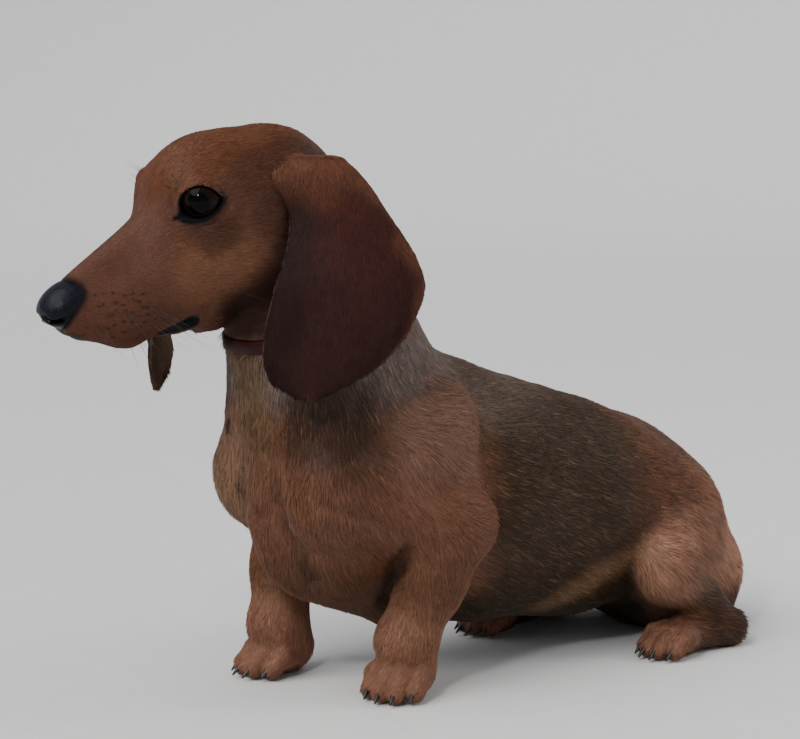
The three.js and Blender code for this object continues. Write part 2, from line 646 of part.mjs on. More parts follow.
// Legs and tail, cut out of the body where they leave it: each has the space that is nearer to it than to
// the rest
const onFloor = (made) => made.intersect(aboveFloor);
const spaceOf = (limb, rest, low, high, cell) => surface((p) => (limb(p) - rest(p)) * 0.5, low, high, cell);
const tailSpace = spaceOf(tail, hindquarters, P(-330, -130, -12), P(-240, 20, 60), CELLS.tailSpace);
const tailClear = swell(tailSpace, GAP);
let torsoSolid = surface(whole, P(-330, -130, -20), P(190, 120, 240), CELLS.torso).subtract(tailClear);
const tailSolid = surface(whole, P(-330, -130, -12), P(-230, 20, 60), CELLS.tail).intersect(tailSpace);
place("tail", onFloor(tailSolid), RED_COAT);
for (const s of ["left", "right"]) {
  const [near, far] = side[s] > 0 ? [8, 110] : [-110, -8];
  const front = spaceOf(melt(4, legs[s], pawForms), bust, P(-90, near, -12), P(60, far, 120), CELLS.foreSpace);
  const hind = melt(4, thighs[s], shanks[s], feet[s + "_hindpaw"].form);
  const rear = spaceOf(hind, body, P(-300, near, -12), P(-90, far, 150), CELLS.hindSpace);
  const foreleg = onFloor(surface(whole, P(-90, near, -12), P(70, far, 125), CELLS.foreleg).intersect(front));
  const rump = surface(whole, P(-310, near, -12), P(-90, far, 150), CELLS.hindleg);
  const hindleg = onFloor(rump.intersect(rear).subtract(tailClear));
  const wristCut = cut(P(0, 0, 25), UP);
  const foot = onFloor(surface(whole, ...room(hindpaw[s], 62), CELLS.hindpaw)).intersect(rear);
  const toeBox = [add(hindpaw[s], P(-6, -32, -20)), add(hindpaw[s], P(50, 32, 15))];
  const frontClaws = clawsOf(feet[s + "_forepaw"]);
  const rearClaws = clawsOf(feet[s + "_hindpaw"]);
  place("foreleg_" + s, foreleg.intersect(wristCut.over), RED_COAT);
  place("forepaw_" + s, join(foreleg.intersect(wristCut.under), frontClaws), RED_COAT);
  const toeClear = box(...toeBox);
  const toeSpace = box(add(toeBox[0], P(GAP, GAP, GAP)), add(toeBox[1], P(GAP, GAP, GAP), -1));
  place("hindleg_" + s, hindleg.subtract(toeClear), RED_COAT);
  place("hindpaw_" + s, join(foot.intersect(toeSpace), rearClaws), RED_COAT);
  torsoSolid = torsoSolid.subtract(swell(front, GAP)).subtract(swell(rear, GAP));
}
function join(made, others) {
  return others.reduce((sum, other) => sum.add(other), made);
}
// A claw curves down and forward from the end of each toe, and ends clear of the floor.
function clawsOf(foot) {
  return foot.tips.map((tip) => {
    const root = add(add(tip, foot.along, 1), UP, 0.6);
    const way = unit(add(foot.along, UP, -0.42));
    const across = unit(cross(UP, way));
    return shape(new THREE.ConeGeometry(2.8, 10, 6), add(root, way, 4.5), [across, way, cross(across, way)]);
  });
}

place("neck", torsoSolid.intersect(throatCut.under).intersect(shoulderCut.over), RED_COAT);
const trunkSolid = onFloor(torsoSolid.intersect(shoulderCut.under));
place("chest", trunkSolid.intersect(loinCut.under), RED_COAT);
place("loin", trunkSolid.intersect(loinCut.over), SABLE_COAT);

// Collar: a flat strap that goes round the neck a little below the jaw
const COLLAR_AT = P(16, -3, 204);
const COLLAR_UP = unit(P(0.3, 0, 0.95));
function strap() {
  const ahead = unit(cross(LEFT, COLLAR_UP));
  const count = 40;
  const points = [];
  for (let i = 0; i < count; i++) {
    const turn = (2 * Math.PI * i) / count;
    const way = add(ahead.map((v) => v * Math.cos(turn)), LEFT, Math.sin(turn));
    for (const [lift, up] of [[0.4, -1], [0.4, 1], [2.6, 0.8], [2.6, -0.8]]) {
      const start = add(COLLAR_AT, COLLAR_UP, (up * COLLAR_WIDTH) / 2);
      let far = 20;
      for (let step = 0; step < 30; step++) far += 0.8 * (lift - body(add(start, way, far)));
      points.push(add(start, way, far));
    }
  }
  const triangles = [];
  for (let i = 0; i < count; i++)
    for (let k = 0; k < 4; k++) {
      const [a, b] = [i * 4 + k, i * 4 + ((k + 1) % 4)];
      const [c, d] = [((i + 1) % count) * 4 + k, ((i + 1) % count) * 4 + ((k + 1) % 4)];
      triangles.push(a, b, d, a, d, c);
    }
  return solid(points, triangles);
}
place("collar", strap(), PURPLE_STRAP);

// The origin goes to the floor, under the middle of the whole model
const bounds = new THREE.Box3().setFromObject(group);
const middle = bounds.getCenter(new THREE.Vector3());
for (const mesh of group.children) mesh.geometry.translate(-middle.x, -middle.y, -bounds.min.z);

export default group;
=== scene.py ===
"""A young smooth-coated red dachshund that sits on the floor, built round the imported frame.

Shapes are worked out in the dog's own frame, in millimetres: forward, left and up, from a point on the
floor between its forepaws. They are turned into the frame's metres when a mesh is made.
"""
import math

import bmesh
import bpy
import numpy as np
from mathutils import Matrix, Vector, bvhtree


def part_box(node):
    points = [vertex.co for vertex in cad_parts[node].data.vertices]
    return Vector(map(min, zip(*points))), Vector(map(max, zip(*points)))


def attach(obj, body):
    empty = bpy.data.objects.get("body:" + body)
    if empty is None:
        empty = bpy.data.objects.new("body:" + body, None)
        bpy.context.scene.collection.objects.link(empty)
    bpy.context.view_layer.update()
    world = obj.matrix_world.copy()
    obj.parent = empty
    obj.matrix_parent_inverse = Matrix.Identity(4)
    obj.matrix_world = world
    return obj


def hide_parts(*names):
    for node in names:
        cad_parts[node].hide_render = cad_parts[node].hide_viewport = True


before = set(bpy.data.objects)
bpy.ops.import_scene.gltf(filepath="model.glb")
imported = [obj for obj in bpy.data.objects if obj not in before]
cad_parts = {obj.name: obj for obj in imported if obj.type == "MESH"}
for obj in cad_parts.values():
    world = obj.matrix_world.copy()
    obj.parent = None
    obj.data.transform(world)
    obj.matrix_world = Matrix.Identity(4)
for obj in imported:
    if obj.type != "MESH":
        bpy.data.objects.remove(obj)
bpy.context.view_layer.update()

# Driving dimensions
HEAD_LENGTH = 187.0
EAR_LENGTH = 117.0
EYE_RADIUS = 11.6
COAT_DEPTH = 0.7
MM = 0.001


def P(forward, left, up):
    """A point or a way in the dog's frame."""
    return np.array([forward, left, up], float)


FORWARD = P(1, 0, 0)
LEFT = P(0, 1, 0)
UP = P(0, 0, 1)


def unit(a):
    return a / np.maximum(np.linalg.norm(a, axis=-1, keepdims=True), 1e-9)


def mirror(a, side):
    return P(a[0], a[1] * side, a[2])


def mix(a, b, t):
    return a + (b - a) * t


def ramp(value, start, end):
    """0 before start, 1 after end, and smooth between them. Start may be the larger one."""
    t = np.clip((value - start) / (end - start), 0, 1)
    return t * t * (3 - 2 * t)


# Forms: each is a function of an array of points that gives the distance from a surface, negative inside
def cone(a, b, ra, rb, squash=1.0, across=LEFT):
    """A round-ended cone from a to b, only `squash` times as thick along the way across."""
    stretch = 1 / squash - 1

    def widened(q):
        return q + np.multiply.outer(q @ across, across) * stretch

    line = widened(b - a)
    long = line @ line or 1.0

    def form(p):
        d = widened(p - a)
        t = np.clip(d @ line / long, 0, 1)
        d -= np.multiply.outer(t, line)
        return (np.sqrt(np.einsum("ij,ij->i", d, d)) - ra - (rb - ra) * t) * min(1, squash)

    return form


def egg(centre, radii, axes=(FORWARD, LEFT, UP)):
    """An ellipsoid with its radii along the axes given."""
    radii = np.array(radii, float)
    turn = np.array(axes)

    def form(p):
        q = (p - centre) @ turn.T / radii
        near = np.sqrt((q * q).sum(1))
        steep = np.sqrt(((q / radii) ** 2).sum(1))
        return np.where(steep > 0, near * (near - 1) / np.maximum(steep, 1e-9), -radii.min())

    return form


def blend(a, b, soft):
    """The nearer of two distances, with a fillet of about `soft` where they meet."""
    near = np.maximum(soft - np.abs(a - b), 0)
    return np.minimum(a, b) - near * near / (4 * soft)


def melt(soft, *forms):
    """Joins forms with a fillet of about `soft`."""

    def form(p):
        made = forms[0](p)
        for other in forms[1:]:
            made = blend(made, other(p), soft)
        return made

    return form


def carve(soft, form, tool):
    """Takes a tool out of a form and rounds the edge."""
    return lambda p: -blend(-form(p), tool(p), soft)


def folded(p):
    """Points brought over to the left side, so that one form serves both sides."""
    return np.abs(p) * LEFT + p * (FORWARD + UP)


def both(form):
    """A form and its mirror image."""
    return lambda p: form(folded(p))


def either(pair):
    """The nearer one of a left and a right form."""
    return lambda p: np.minimum(pair["left"](p), pair["right"](p))


def dents(rows):
    """What soft dents along lines add to a form: ridges, where their depth is negative.

    Each row has the line's two ends, how far the dent reaches from it, and its depth.
    """

    def added(p):
        total = 0
        for a, b, reach, depth in rows:
            along = b - a
            t = np.clip((p - a) @ along / (along @ along), 0, 1)
            away = p - a - t[:, None] * along
            total = total + depth * np.exp(-(away * away).sum(1) / (reach * reach))
        return total

    return added


# Trunk: deep chest with a keel, long loin and rounded rump
chest_mid = P(-26, 0, 104)
ribs_mid = P(-92, 0, 96)
waist = P(-160, 0, 85)
loin_end = P(-192, 0, 94)
croup = P(-213, 0, 78)
rump_end = P(-236, 0, 44)
trunk = melt(
    22,
    cone(chest_mid, ribs_mid, 60, 67, 0.84),
    cone(ribs_mid, waist, 67, 64, 0.86),
    cone(waist, loin_end, 61, 45, 0.96),
    cone(croup, rump_end, 50, 45, 1.1),
    egg(P(6, 0, 106), (42, 42, 50)),
    cone(P(38, 0, 138), P(20, 0, 84), 14, 14, 0.7),
    cone(P(16, 0, 76), P(-40, 0, 48), 13, 20, 0.75),
    both(cone(P(-70, 10, 150), P(-30, 34, 132), 24, 26)),
)

# Neck: thick, widening into the shoulders
neck_base = P(-18, 0, 146)
neck_mid = P(6, 0, 192)
neck_top = P(28, -5, 232)
neck = melt(
    18,
    cone(neck_base, neck_mid, 60, 47, 0.84),
    cone(neck_mid, neck_top, 47, 40, 0.88),
    both(cone(P(25, 36, 124), P(26, 8, 192), 25, 26)),
)

# Head: a frame of its own, along the muzzle, left and up, from the point midway between the eyes
EYES_AT = P(94, -12, 269)


def turned(axis, degrees):
    """A turn about one axis of the dog's frame, as a matrix."""
    c, s = math.cos(math.radians(degrees)), math.sin(math.radians(degrees))
    i, j = [(1, 2), (2, 0), (0, 1)][axis]
    made = np.eye(3)
    made[i, i] = made[j, j] = c
    made[i, j], made[j, i] = -s, s
    return made


HEAD_TURN = turned(2, -7) @ turned(1, 24) @ turned(0, -5)
HEAD_FORWARD, HEAD_LEFT, HEAD_UP = HEAD_TURN.T


def head_place(p):
    """Points of the dog's frame in the head's own frame."""
    return (p - EYES_AT) @ HEAD_TURN


def head_point(a):
    return EYES_AT + HEAD_TURN @ a


def in_head(form):
    return lambda p: form(head_place(p))


upper_form = melt(
    12,
    egg(P(-40, 0, -10), (47, 35, 31)),
    egg(P(-19, 0, 5), (30, 27, 23)),
    egg(P(-78, 0, -20), (14, 16, 13)),
    both(egg(P(-9, 20, 1), (20, 14, 14))),
    both(egg(P(3, 18, -14), (20, 11, 13))),
    both(egg(P(-30, 30, -20), (32, 12, 18))),
    both(egg(P(-42, 26, -42), (26, 14, 24))),
    both(cone(P(-20, 18, -36), P(22, 10, -34), 23, 21)),
    cone(P(2, 0, -12), P(74, 0, -22), 18, 10.5),
    both(cone(P(16, 12, -36), P(50, 8, -39), 18.5, 16, 0.8)),
    both(cone(P(50, 8, -39), P(71, 6, -33), 16, 11, 0.85)),
    cone(P(-34, 0, -50), P(6, 0, -52), 28, 19),
)
mouth_room = melt(
    6,
    cone(P(18, 0, -57), P(46, 0, -51), 11.5, 8.5, 1.25),
    cone(P(46, 0, -51), P(64, 0, -45), 8.5, 7, 1.25),
)
skull_form = carve(3, upper_form, mouth_room)
jaw_form = melt(
    8,
    cone(P(-4, 0, -57.5), P(46, 0, -49.5), 11, 6.8, 1.35),
    cone(P(46, 0, -49.5), P(63, 0, -43), 6.8, 5.5, 1.3),
    both(cone(P(-40, 22, -54), P(6, 15, -56), 12, 8)),
    both(cone(P(6, 15, -56), P(36, 11, -53), 8, 5.5)),
)

# Eyes: they look out to the side and a little up, through an almond-shaped opening in the lids
EYE_WAY = unit(P(math.cos(math.radians(52)), math.sin(math.radians(52)), 0.06))
EYE_AT = P(-6.2, 27.2, 2.8)
LID_RADIUS = 12.8
eye_along = unit(unit(np.cross(UP, EYE_WAY)) + UP * 0.07)
eye_over = unit(np.cross(EYE_WAY, eye_along))
# the upper lid's edge is a high arc and the lower one's a flat arc: radius, and how high its middle is
UPPER_ARC = (10.1, -2.3)
LOWER_ARC = (14.0, 6.1)
TEAR_FROM = EYE_AT - eye_along * 9.5 - eye_over * 3.8 + EYE_WAY * 7.5
TEAR_TO = P(11.5, 24.8, -1.4)


def eye_offset(p):
    """From the eye's middle to each point, as if all were on the left side, in the head's frame."""
    return folded(p) - EYE_AT


def almond(p):
    """Distance from the edge of the opening between the lids, seen straight on, in the head's frame."""
    d = eye_offset(p)
    u = d @ eye_along
    v = d @ eye_over
    upper = np.hypot(u, v - UPPER_ARC[1]) - UPPER_ARC[0]
    lower = np.hypot(u, v - LOWER_ARC[1]) - LOWER_ARC[0]
    return np.maximum(upper, lower)


def tear_corner(p):
    """Distance from the line that runs from the eye's inner corner towards the nose."""
    return both(cone(TEAR_FROM, TEAR_TO, 0.6, 0.2))(p)


def eye_depth(p):
    return eye_offset(p) @ EYE_WAY


def lids(p):
    ball = both(egg(EYE_AT, (LID_RADIUS,) * 3))(p)
    opening = np.maximum(almond(p), -eye_depth(p))
    return ball, opening


def lid_folds(p):
    """The raised rims of the lids, the crease over the upper one and the softer one under the lower."""
    d = eye_offset(p)
    near = ramp(np.linalg.norm(d, axis=1), 26, 20) * ramp(eye_depth(p), -2, 3)
    height = d @ eye_over
    edge = almond(p)
    over = 0.55 * np.exp(-(((edge - 4.4) / 1.0) ** 2)) * ramp(height, 1, 5)
    under = 0.5 * np.exp(-(((edge - 4.8) / 1.4) ** 2)) * ramp(height, -1, -5)
    rim = -0.5 * np.exp(-(((edge - 1.6) / 1.1) ** 2))
    tear = 0.9 * np.exp(-((tear_corner(p) / 1.2) ** 2))
    return near * (over + under + rim) + tear


# Small hollows and ridges of the head, the same on both sides
HEAD_MARKS = (
    # the furrow of the forehead and the bridge of the nose
    (P(-34, 0, 24), P(-4, 0, 10), 5, 0.7),
    (P(16, 5.5, -4), P(60, 5, -14), 4, -0.5),
    # brow over the inner corner of the eye
    (P(2, 19, 13), P(-8, 24, 16), 5, -0.9),
    # hollow under the eye, the cheek behind it and the fold before the ear
    (P(12, 22, -12), P(-8, 31, -16), 6, 1.0),
    (P(-16, 34, -34), P(-6, 31, -44), 9, -1.2),
    (P(-44, 38, 4), P(-46, 40, -34), 5, 1.4),
    # folds of the throat behind the mouth
    (P(2, 24, -56), P(-20, 31, -52), 3, 0.9),
    (P(-4, 22, -63), P(-26, 28, -62), 3, 0.8),
    # upper lip beside the nose
    (P(58, 15, -40), P(40, 19, -42), 7, -0.7),
    # underside of the jaw behind the mouth
    (P(6, 9, -62), P(24, 7, -62), 11, -2.2),
)
head_marks = both(dents(HEAD_MARKS))

# Mouth: the lower jaw is tucked in under the lips, with the line of the mouth between them
LIP_GROOVE = 1.3
GROOVE_WIDTH = 1.1
MOUTH_CORNER = 17.5
# Fillets between jaw and skull behind the mouth and at the lips, and round the eye's ball and opening
THROAT_FILLET = 9.0
LIPS_FILLET = 2.5
BALL_FILLET = 2.5
OPENING_FILLET = 0.8
# How deep the bare lip at the corner of the mouth is sunk
LIP_PATCH_DEPTH = 1.1


def lip_line(p):
    """How far a point is from the line of the mouth, in the head's frame, and how far it is in front."""
    return skull_form(p) - jaw_form(p), p[:, 0] - MOUTH_CORNER


LIP_BACK = P(23.0, 19.5, -56)
LIP_FRONT = P(38, 14.5, -57)
LIP_RADII = (6.6, 2.4)


def lip_patch(p):
    """Distance from the bare black lip that shows at the corner of the mouth."""
    return both(cone(LIP_BACK, LIP_FRONT, *LIP_RADII))(p)


def head_form(p):
    skull = skull_form(p)
    jaw = jaw_form(p)
    x = p[:, 0]
    made = blend(skull, jaw, mix(THROAT_FILLET, LIPS_FILLET, ramp(x, MOUTH_CORNER - 12, MOUTH_CORNER)))
    groove = np.exp(-(((skull - jaw) / GROOVE_WIDTH) ** 2)) * ramp(x, MOUTH_CORNER - 2, MOUTH_CORNER + 2)
    made = made + LIP_PATCH_DEPTH * ramp(lip_patch(p), -0.5, -3.5)
    ball, opening = lids(p)
    made = blend(made + groove * LIP_GROOVE, ball, BALL_FILLET)
    made = made + lid_folds(p) + head_marks(p)
    return -blend(-made, opening, OPENING_FILLET)


# Nose
NOSE_AT = P(HEAD_LENGTH * 0.386, 0, -22.5)
leather = melt(
    4,
    egg(NOSE_AT, (17, 13, 11)),
    egg(NOSE_AT + P(4, 0, -9), (7.5, 6, 8.5)),
    both(egg(NOSE_AT + P(7, 6, -2), (9, 6.5, 7))),
)
nostril = both(
    melt(
        1,
        cone(NOSE_AT + P(17, 4.5, -2), NOSE_AT + P(6, 8, -2), 3, 2.4),
        cone(NOSE_AT + P(14, 8, -3), NOSE_AT + P(6, 14, -5), 1.7, 1.3),
    )
)

# Legs
SIDES = {"left": 1, "right": -1}
elbow = {"left": P(-40, 54, 88), "right": P(-2, -48, 84)}
wrist = {"left": P(-16, 46, 30), "right": P(14.5, -36, 28)}
forepaw = {"left": P(-17, 44, 12), "right": P(10.5, -36, 12)}
hip = {"left": P(-220, 32, 68), "right": P(-216, -32, 68)}
stifle = {"left": P(-198, 60, 50), "right": P(-166, -56, 50)}
hock = {"left": P(-235.5, 66, 12), "right": P(-206, -60, 12)}
hindpaw = {"left": P(-200, 68, 11), "right": P(-150, -40, 11)}


def foreleg(s):
    e, w = elbow[s], wrist[s]
    heel = forepaw[s] + P(-3, 0, 3)
    return melt(
        10,
        cone(e, mix(e, w, 0.45), 20, 18.5, 0.92),
        cone(mix(e, w, 0.4), w, 18, 15.5),
        cone(w, heel, 16, 15),
    )


def upper_arm(s):
    point = mirror(P(24, 35, 112), SIDES[s])
    blade = mirror(P(-44, 33, 146), SIDES[s])
    tip = elbow[s] + P(-18, 4 * SIDES[s], 4)
    behind = cone(mirror(P(-40, 37, 140), SIDES[s]), elbow[s] + P(-8, -11 * SIDES[s], 18), 18, 17)
    return melt(12, cone(blade, point, 24, 23), cone(point, elbow[s], 24, 19), behind, egg(tip, (9, 8, 12)))


def thigh(s):
    seat = mirror(P(-238, 36, 38), SIDES[s])
    return melt(12, cone(hip[s], stifle[s], 40, 20, 0.8), cone(seat, stifle[s], 37, 18, 0.8))


def shank(s):
    return melt(8, cone(stifle[s], hock[s], 15, 12.5), cone(hock[s], hindpaw[s], 12.5, 10.5, 1.1))


def toes(at, heading, size):
    """A foot: four arched toes side by side in front of a pad. Heading is to the left of forward."""
    turn = math.radians(heading)
    along = P(math.cos(turn), math.sin(turn), 0)
    across = P(-math.sin(turn), math.cos(turn), 0)
    tips = []
    forms = []

    def spot(k, far, wide, up):
        return at * (FORWARD + LEFT) + along * far + across * wide * k * size + UP * up

    for k in (-1.5, -0.5, 0.5, 1.5):
        reach = (25 if abs(k) < 1 else 19) * size
        knuckle = spot(k, reach - 9 * size, 8.6, 12.5 * size)
        tip = spot(k, reach, 8.8, 6.2 * size)
        back = cone(spot(k, 4, 6.5, 13 * size), knuckle, 8 * size, 6.6 * size)
        forms.append(melt(3, back, cone(knuckle, tip, 6.6 * size, 5.6 * size)))
        tips.append(tip)
    pad_at = P(at[0], at[1], 7 * size) + along * 4
    pad = egg(pad_at, (12 * size, 13 * size, 8 * size), (along, across, UP))
    return {"form": melt(2.5, *forms, pad), "tips": tips, "along": along}


legs = {s: foreleg(s) for s in SIDES}
arms = {s: upper_arm(s) for s in SIDES}
thighs = {s: thigh(s) for s in SIDES}
shanks = {s: shank(s) for s in SIDES}
feet = {
    "forepaw_left": toes(forepaw["left"], 32, 1),
    "forepaw_right": toes(forepaw["right"], 6, 1),
    "hindpaw_left": toes(hindpaw["left"], 4, 0.92),
    "hindpaw_right": toes(hindpaw["right"], 2, 0.92),
}

# Tail: lies on the floor and curves round the right side of the rump
tail_points = [P(-262, -4, 34), P(-292, -14, 15), P(-304, -46, 9), P(-290, -84, 7.5), P(-262, -108, 5)]
tail_radii = [16, 12, 9, 7, 5.5]
tail = melt(
    6,
    *[
        cone(a, b, ra, rb)
        for a, b, ra, rb in zip(tail_points, tail_points[1:], tail_radii, tail_radii[1:])
    ]
)

front_legs = melt(9, legs["left"], legs["right"])
bust = melt(9, melt(16, trunk, neck), arms["left"], arms["right"])
head_and_bust = melt(9, bust, in_head(head_form))
hindquarters = melt(
    12,
    head_and_bust,
    melt(6, thighs["left"], shanks["left"]),
    melt(6, thighs["right"], shanks["right"]),
)
paws = melt(4, *[foot["form"] for foot in feet.values()])
whole = melt(5, melt(8, melt(9, hindquarters, front_legs), tail), paws)
shoulders = either(arms)
haunches = either(thighs)
hind_shanks = either(shanks)


def forelegs_and_feet(p):
    return np.minimum(front_legs(p), paws(p))


# Small hollows and ridges of the trunk and legs that the light picks out
BODY_MARKS = (
    # front of the neck, drawn back over the breastbone
    (P(61, -5, 190), P(57, -5, 164), 15, 3.0),
    # breastbone with a hollow on each side
    (P(57, 3, 156), P(51, 5, 108), 4.5, -2.2),
    (P(51, 5, 108), P(24, 3, 58), 4.5, -2.0),
    (P(50, 18, 134), P(47, 20, 108), 6, 2.6),
    (P(47, 20, 108), P(26, 17, 66), 6, 2.8),
    (P(53, -13, 142), P(44, -15, 108), 6, 1.8),
    (P(44, -15, 108), P(26, -16, 76), 6, 2.0),
    # hollow between neck and shoulder
    (P(38, 40, 144), P(20, 48, 136), 11, 2.0),
    (P(38, -40, 144), P(24, -46, 136), 11, 1.6),
    # rear edge of the shoulder and upper arm
    (P(-60, 40, 172), P(-63, 56, 132), 5.5, 2.6),
    (P(-63, 56, 132), P(-68, 58, 92), 5.5, 3.0),
    (P(-50, -46, 160), P(-48, -57, 110), 7, 1.6),
    # loin and croup, flatter towards the tail
    (P(-203, 6, 143), P(-221, 24, 124), 23, 5.5),
    (P(-258, 57, 60), P(-259, 59, 30), 16, 3.0),
    # crease where the foreleg leaves the chest, and the fold over it
    (P(-6, 59, 84), P(-10, 46, 72), 4.5, 4.0),
    (P(-10, 46, 72), P(-19, 22, 48), 4.5, 5.0),
    (P(10, -38, 82), P(20, -34, 58), 4, 2.2),
    (P(44, 53, 114), P(13, 62, 102), 3.0, 1.6),
    (P(13, 62, 102), P(-4, 62, 90), 3.5, 2.0),
    # fold of the flank before the thigh
    (P(-146, 54, 84), P(-168, 58, 56), 5, 1.6),
    (P(-140, -54, 84), P(-150, -56, 50), 5, 1.6),
    # dents at the hock
    (P(-228, 76, 26), P(-244, 68, 22), 4, 1.4),
)

# Ears: thin leaves that hang from folds beside the crown. Each row gives how far down it is, then how far
# forward and out its middle lies from the root, its half width, and how far it turns to face ahead.
EAR_ROWS = np.array(
    [
        [-0.03, -1, -5, 17, 0],
        [0.05, -2, 4, 23, 0],
        [0.2, -8, 14, 24.5, 10],
        [0.42, -9, 26, 33.5, 17],
        [0.55, -6, 30, 38, 18],
        [0.72, 1.5, 31, 36.5, 20],
        [0.87, 9, 29, 30, 18],
        [0.955, 15, 27, 20.5, 18],
        [0.99, 18.5, 26, 9.5, 18],
    ],
    float,
)
# How many steps an ear's middle surface is made of
EAR_ACROSS = 48
EAR_DOWN = 84
# Half its thickness at the edge and in the middle, and what its root adds
EAR_EDGE = 1.1
EAR_MIDDLE = 1.9
EAR_ROOT_EXTRA = 1.2
# The fillet that joins it to the head at its root, and where it hangs free
ROOT_FILLET = 7.0
FREE_FILLET = 0.6


def smooth_row(rows, t):
    """The rows as a smooth curve, read at t from 0 to 1 over their spacing, as a centripetal spline."""
    spans = np.linalg.norm(np.diff(rows, axis=0), axis=1) ** 0.5
    count = len(rows) - 1
    i = min(int(t * count), count - 1)
    w = t * count - i
    p1, p2 = rows[i], rows[i + 1]
    p0 = rows[i - 1] if i else 2 * p1 - p2
    p3 = rows[i + 2] if i + 2 <= count else 2 * p2 - p1
    s1 = spans[i]
    s0 = spans[i - 1] if i else s1
    s2 = spans[i + 1] if i + 2 <= count else s1
    t1 = ((p1 - p0) / s0 - (p2 - p0) / (s0 + s1) + (p2 - p1) / s1) * s1
    t2 = ((p2 - p1) / s1 - (p3 - p1) / (s1 + s2) + (p3 - p2) / s2) * s1
    a = 2 * p1 - 2 * p2 + t1 + t2
    b = -3 * p1 + 3 * p2 - 2 * t1 - t2
    return ((a * w + b) * w + t1) * w + p1


def leaf_maker(side, swing, spread, length, straight):
    """The middle surface of an ear: u runs from -1 at its rear edge to 1 at its front edge, v runs down."""
    root = head_point(mirror(P(-68, 34, -8), side))
    ahead = unit(HEAD_FORWARD * (FORWARD + LEFT))
    out = np.cross(UP, ahead) * side

    def leaf(u, v):
        down, forward, outward = smooth_row(EAR_ROWS[:, :3], v)
        _, half_width, turn = smooth_row(EAR_ROWS[:, [0, 3, 4]], v)
        angle = math.radians(turn + spread * min(1, down * 2))
        cup = 5 * (1 - u * u) - 4 * max(0, u) ** 2 * (1 - down)
        forward = forward * (1 - straight) + swing * min(1, down * 1.3)
        p = root + ahead * (forward + u * half_width * math.cos(angle))
        p = p + out * (outward - u * half_width * math.sin(angle) + cup)
        return p - UP * down * length * (1 - 0.03 * u * u)

    return leaf


leaves = {
    "left": leaf_maker(1, 0, 0, EAR_LENGTH, 0),
    "right": leaf_maker(-1, 43, 38, EAR_LENGTH * 1.1, 0.8),
}


class Ear:
    """An ear as a form: the distance from its middle surface, less half its thickness."""

    REACH = 14.0

    def __init__(self, leaf):
        us = -np.cos(np.pi * np.arange(EAR_ACROSS + 1) / EAR_ACROSS)
        vs = np.arange(EAR_DOWN + 1) / EAR_DOWN
        self.us, self.vs = us, vs
        self.points = np.array([[leaf(u, v) for v in vs] for u in us])
        row = EAR_DOWN + 1
        self.faces = [
            (i * row + j, (i + 1) * row + j, (i + 1) * row + j + 1, i * row + j + 1)
            for i in range(EAR_ACROSS)
            for j in range(EAR_DOWN)
        ]
        flat = self.points.reshape(-1, 3)
        self.tree = bvhtree.BVHTree.FromPolygons(flat.tolist(), self.faces)
        self.low = flat.min(0)
        self.high = flat.max(0)

    def nearest(self, p):
        """Distance, and the u and v of the nearest place on the leaf; far off, the box's distance."""
        outside = np.maximum(np.maximum(self.low - p, p - self.high), 0)
        distance = np.linalg.norm(outside, axis=1) + self.REACH * 0.5
        u = np.zeros(len(p))
        v = np.zeros(len(p))
        for k in np.nonzero(distance < self.REACH * 1.5)[0]:
            _, _, face, d = self.tree.find_nearest(Vector(p[k]))
            distance[k] = d
            u[k] = self.us[face // EAR_DOWN]
            v[k] = self.vs[face % EAR_DOWN]
        return distance, u, v

    def form(self, p):
        distance, u, v = self.nearest(p)
        thick = mix(EAR_EDGE, EAR_MIDDLE, ramp(1 - np.abs(u), 0, 0.35))
        thick = thick + EAR_ROOT_EXTRA * ramp(v, 0.3, 0.0)
        return distance - thick, v


ears = {s: Ear(leaf) for s, leaf in leaves.items()}


def with_ears(form):
    """Joins the ears on: softly at their roots, and hardly at all where they hang free."""

    def joined(p):
        made = form(p)
        for ear in ears.values():
            d, v = ear.form(p)
            made = blend(made, d, mix(ROOT_FILLET, FREE_FILLET, ramp(v, 0.02, 0.22)))
        return made

    return joined


# Surfaces
BLOCK = 4
AXES = np.eye(3, dtype=int)
CORNERS = np.array([[c & 1, c >> 1 & 1, c >> 2 & 1] for c in range(8)])


def values_on_grid(form, low, count, cell):
    """The form on a grid of points: exact near its surface, and only its sign elsewhere."""
    blocks = np.ceil(count / BLOCK).astype(int)
    spots = np.stack(np.meshgrid(*[np.arange(n) for n in blocks], indexing="ij"), -1).reshape(-1, 3)
    middle = low + (spots * BLOCK + (BLOCK - 1) / 2) * cell
    coarse = form(middle).reshape(blocks)
    near = np.abs(coarse) < cell * BLOCK * 1.5

    def spread(a):
        for axis in range(3):
            a = np.repeat(a, BLOCK, axis)
        return a[: count[0], : count[1], : count[2]].copy()

    values = spread(coarse)
    wanted = np.argwhere(spread(near))
    values[tuple(wanted.T)] = form(low + wanted * cell)
    return values


def crossings(values, cells):
    """The middle of the places where the surface crosses each cell's edges, within the cell."""
    sums = np.zeros((len(cells), 3))
    hits = np.zeros(len(cells))
    for corner in CORNERS:
        for axis in range(3):
            if corner[axis]:
                continue
            end = corner + AXES[axis]
            a = values[tuple((cells + corner).T)]
            b = values[tuple((cells + end).T)]
            hit = (a < 0) != (b < 0)
            t = (a[hit] / (a[hit] - b[hit]))[:, None]
            sums[hit] += corner + t * (end - corner)
            hits[hit] += 1
    return sums / hits[:, None]


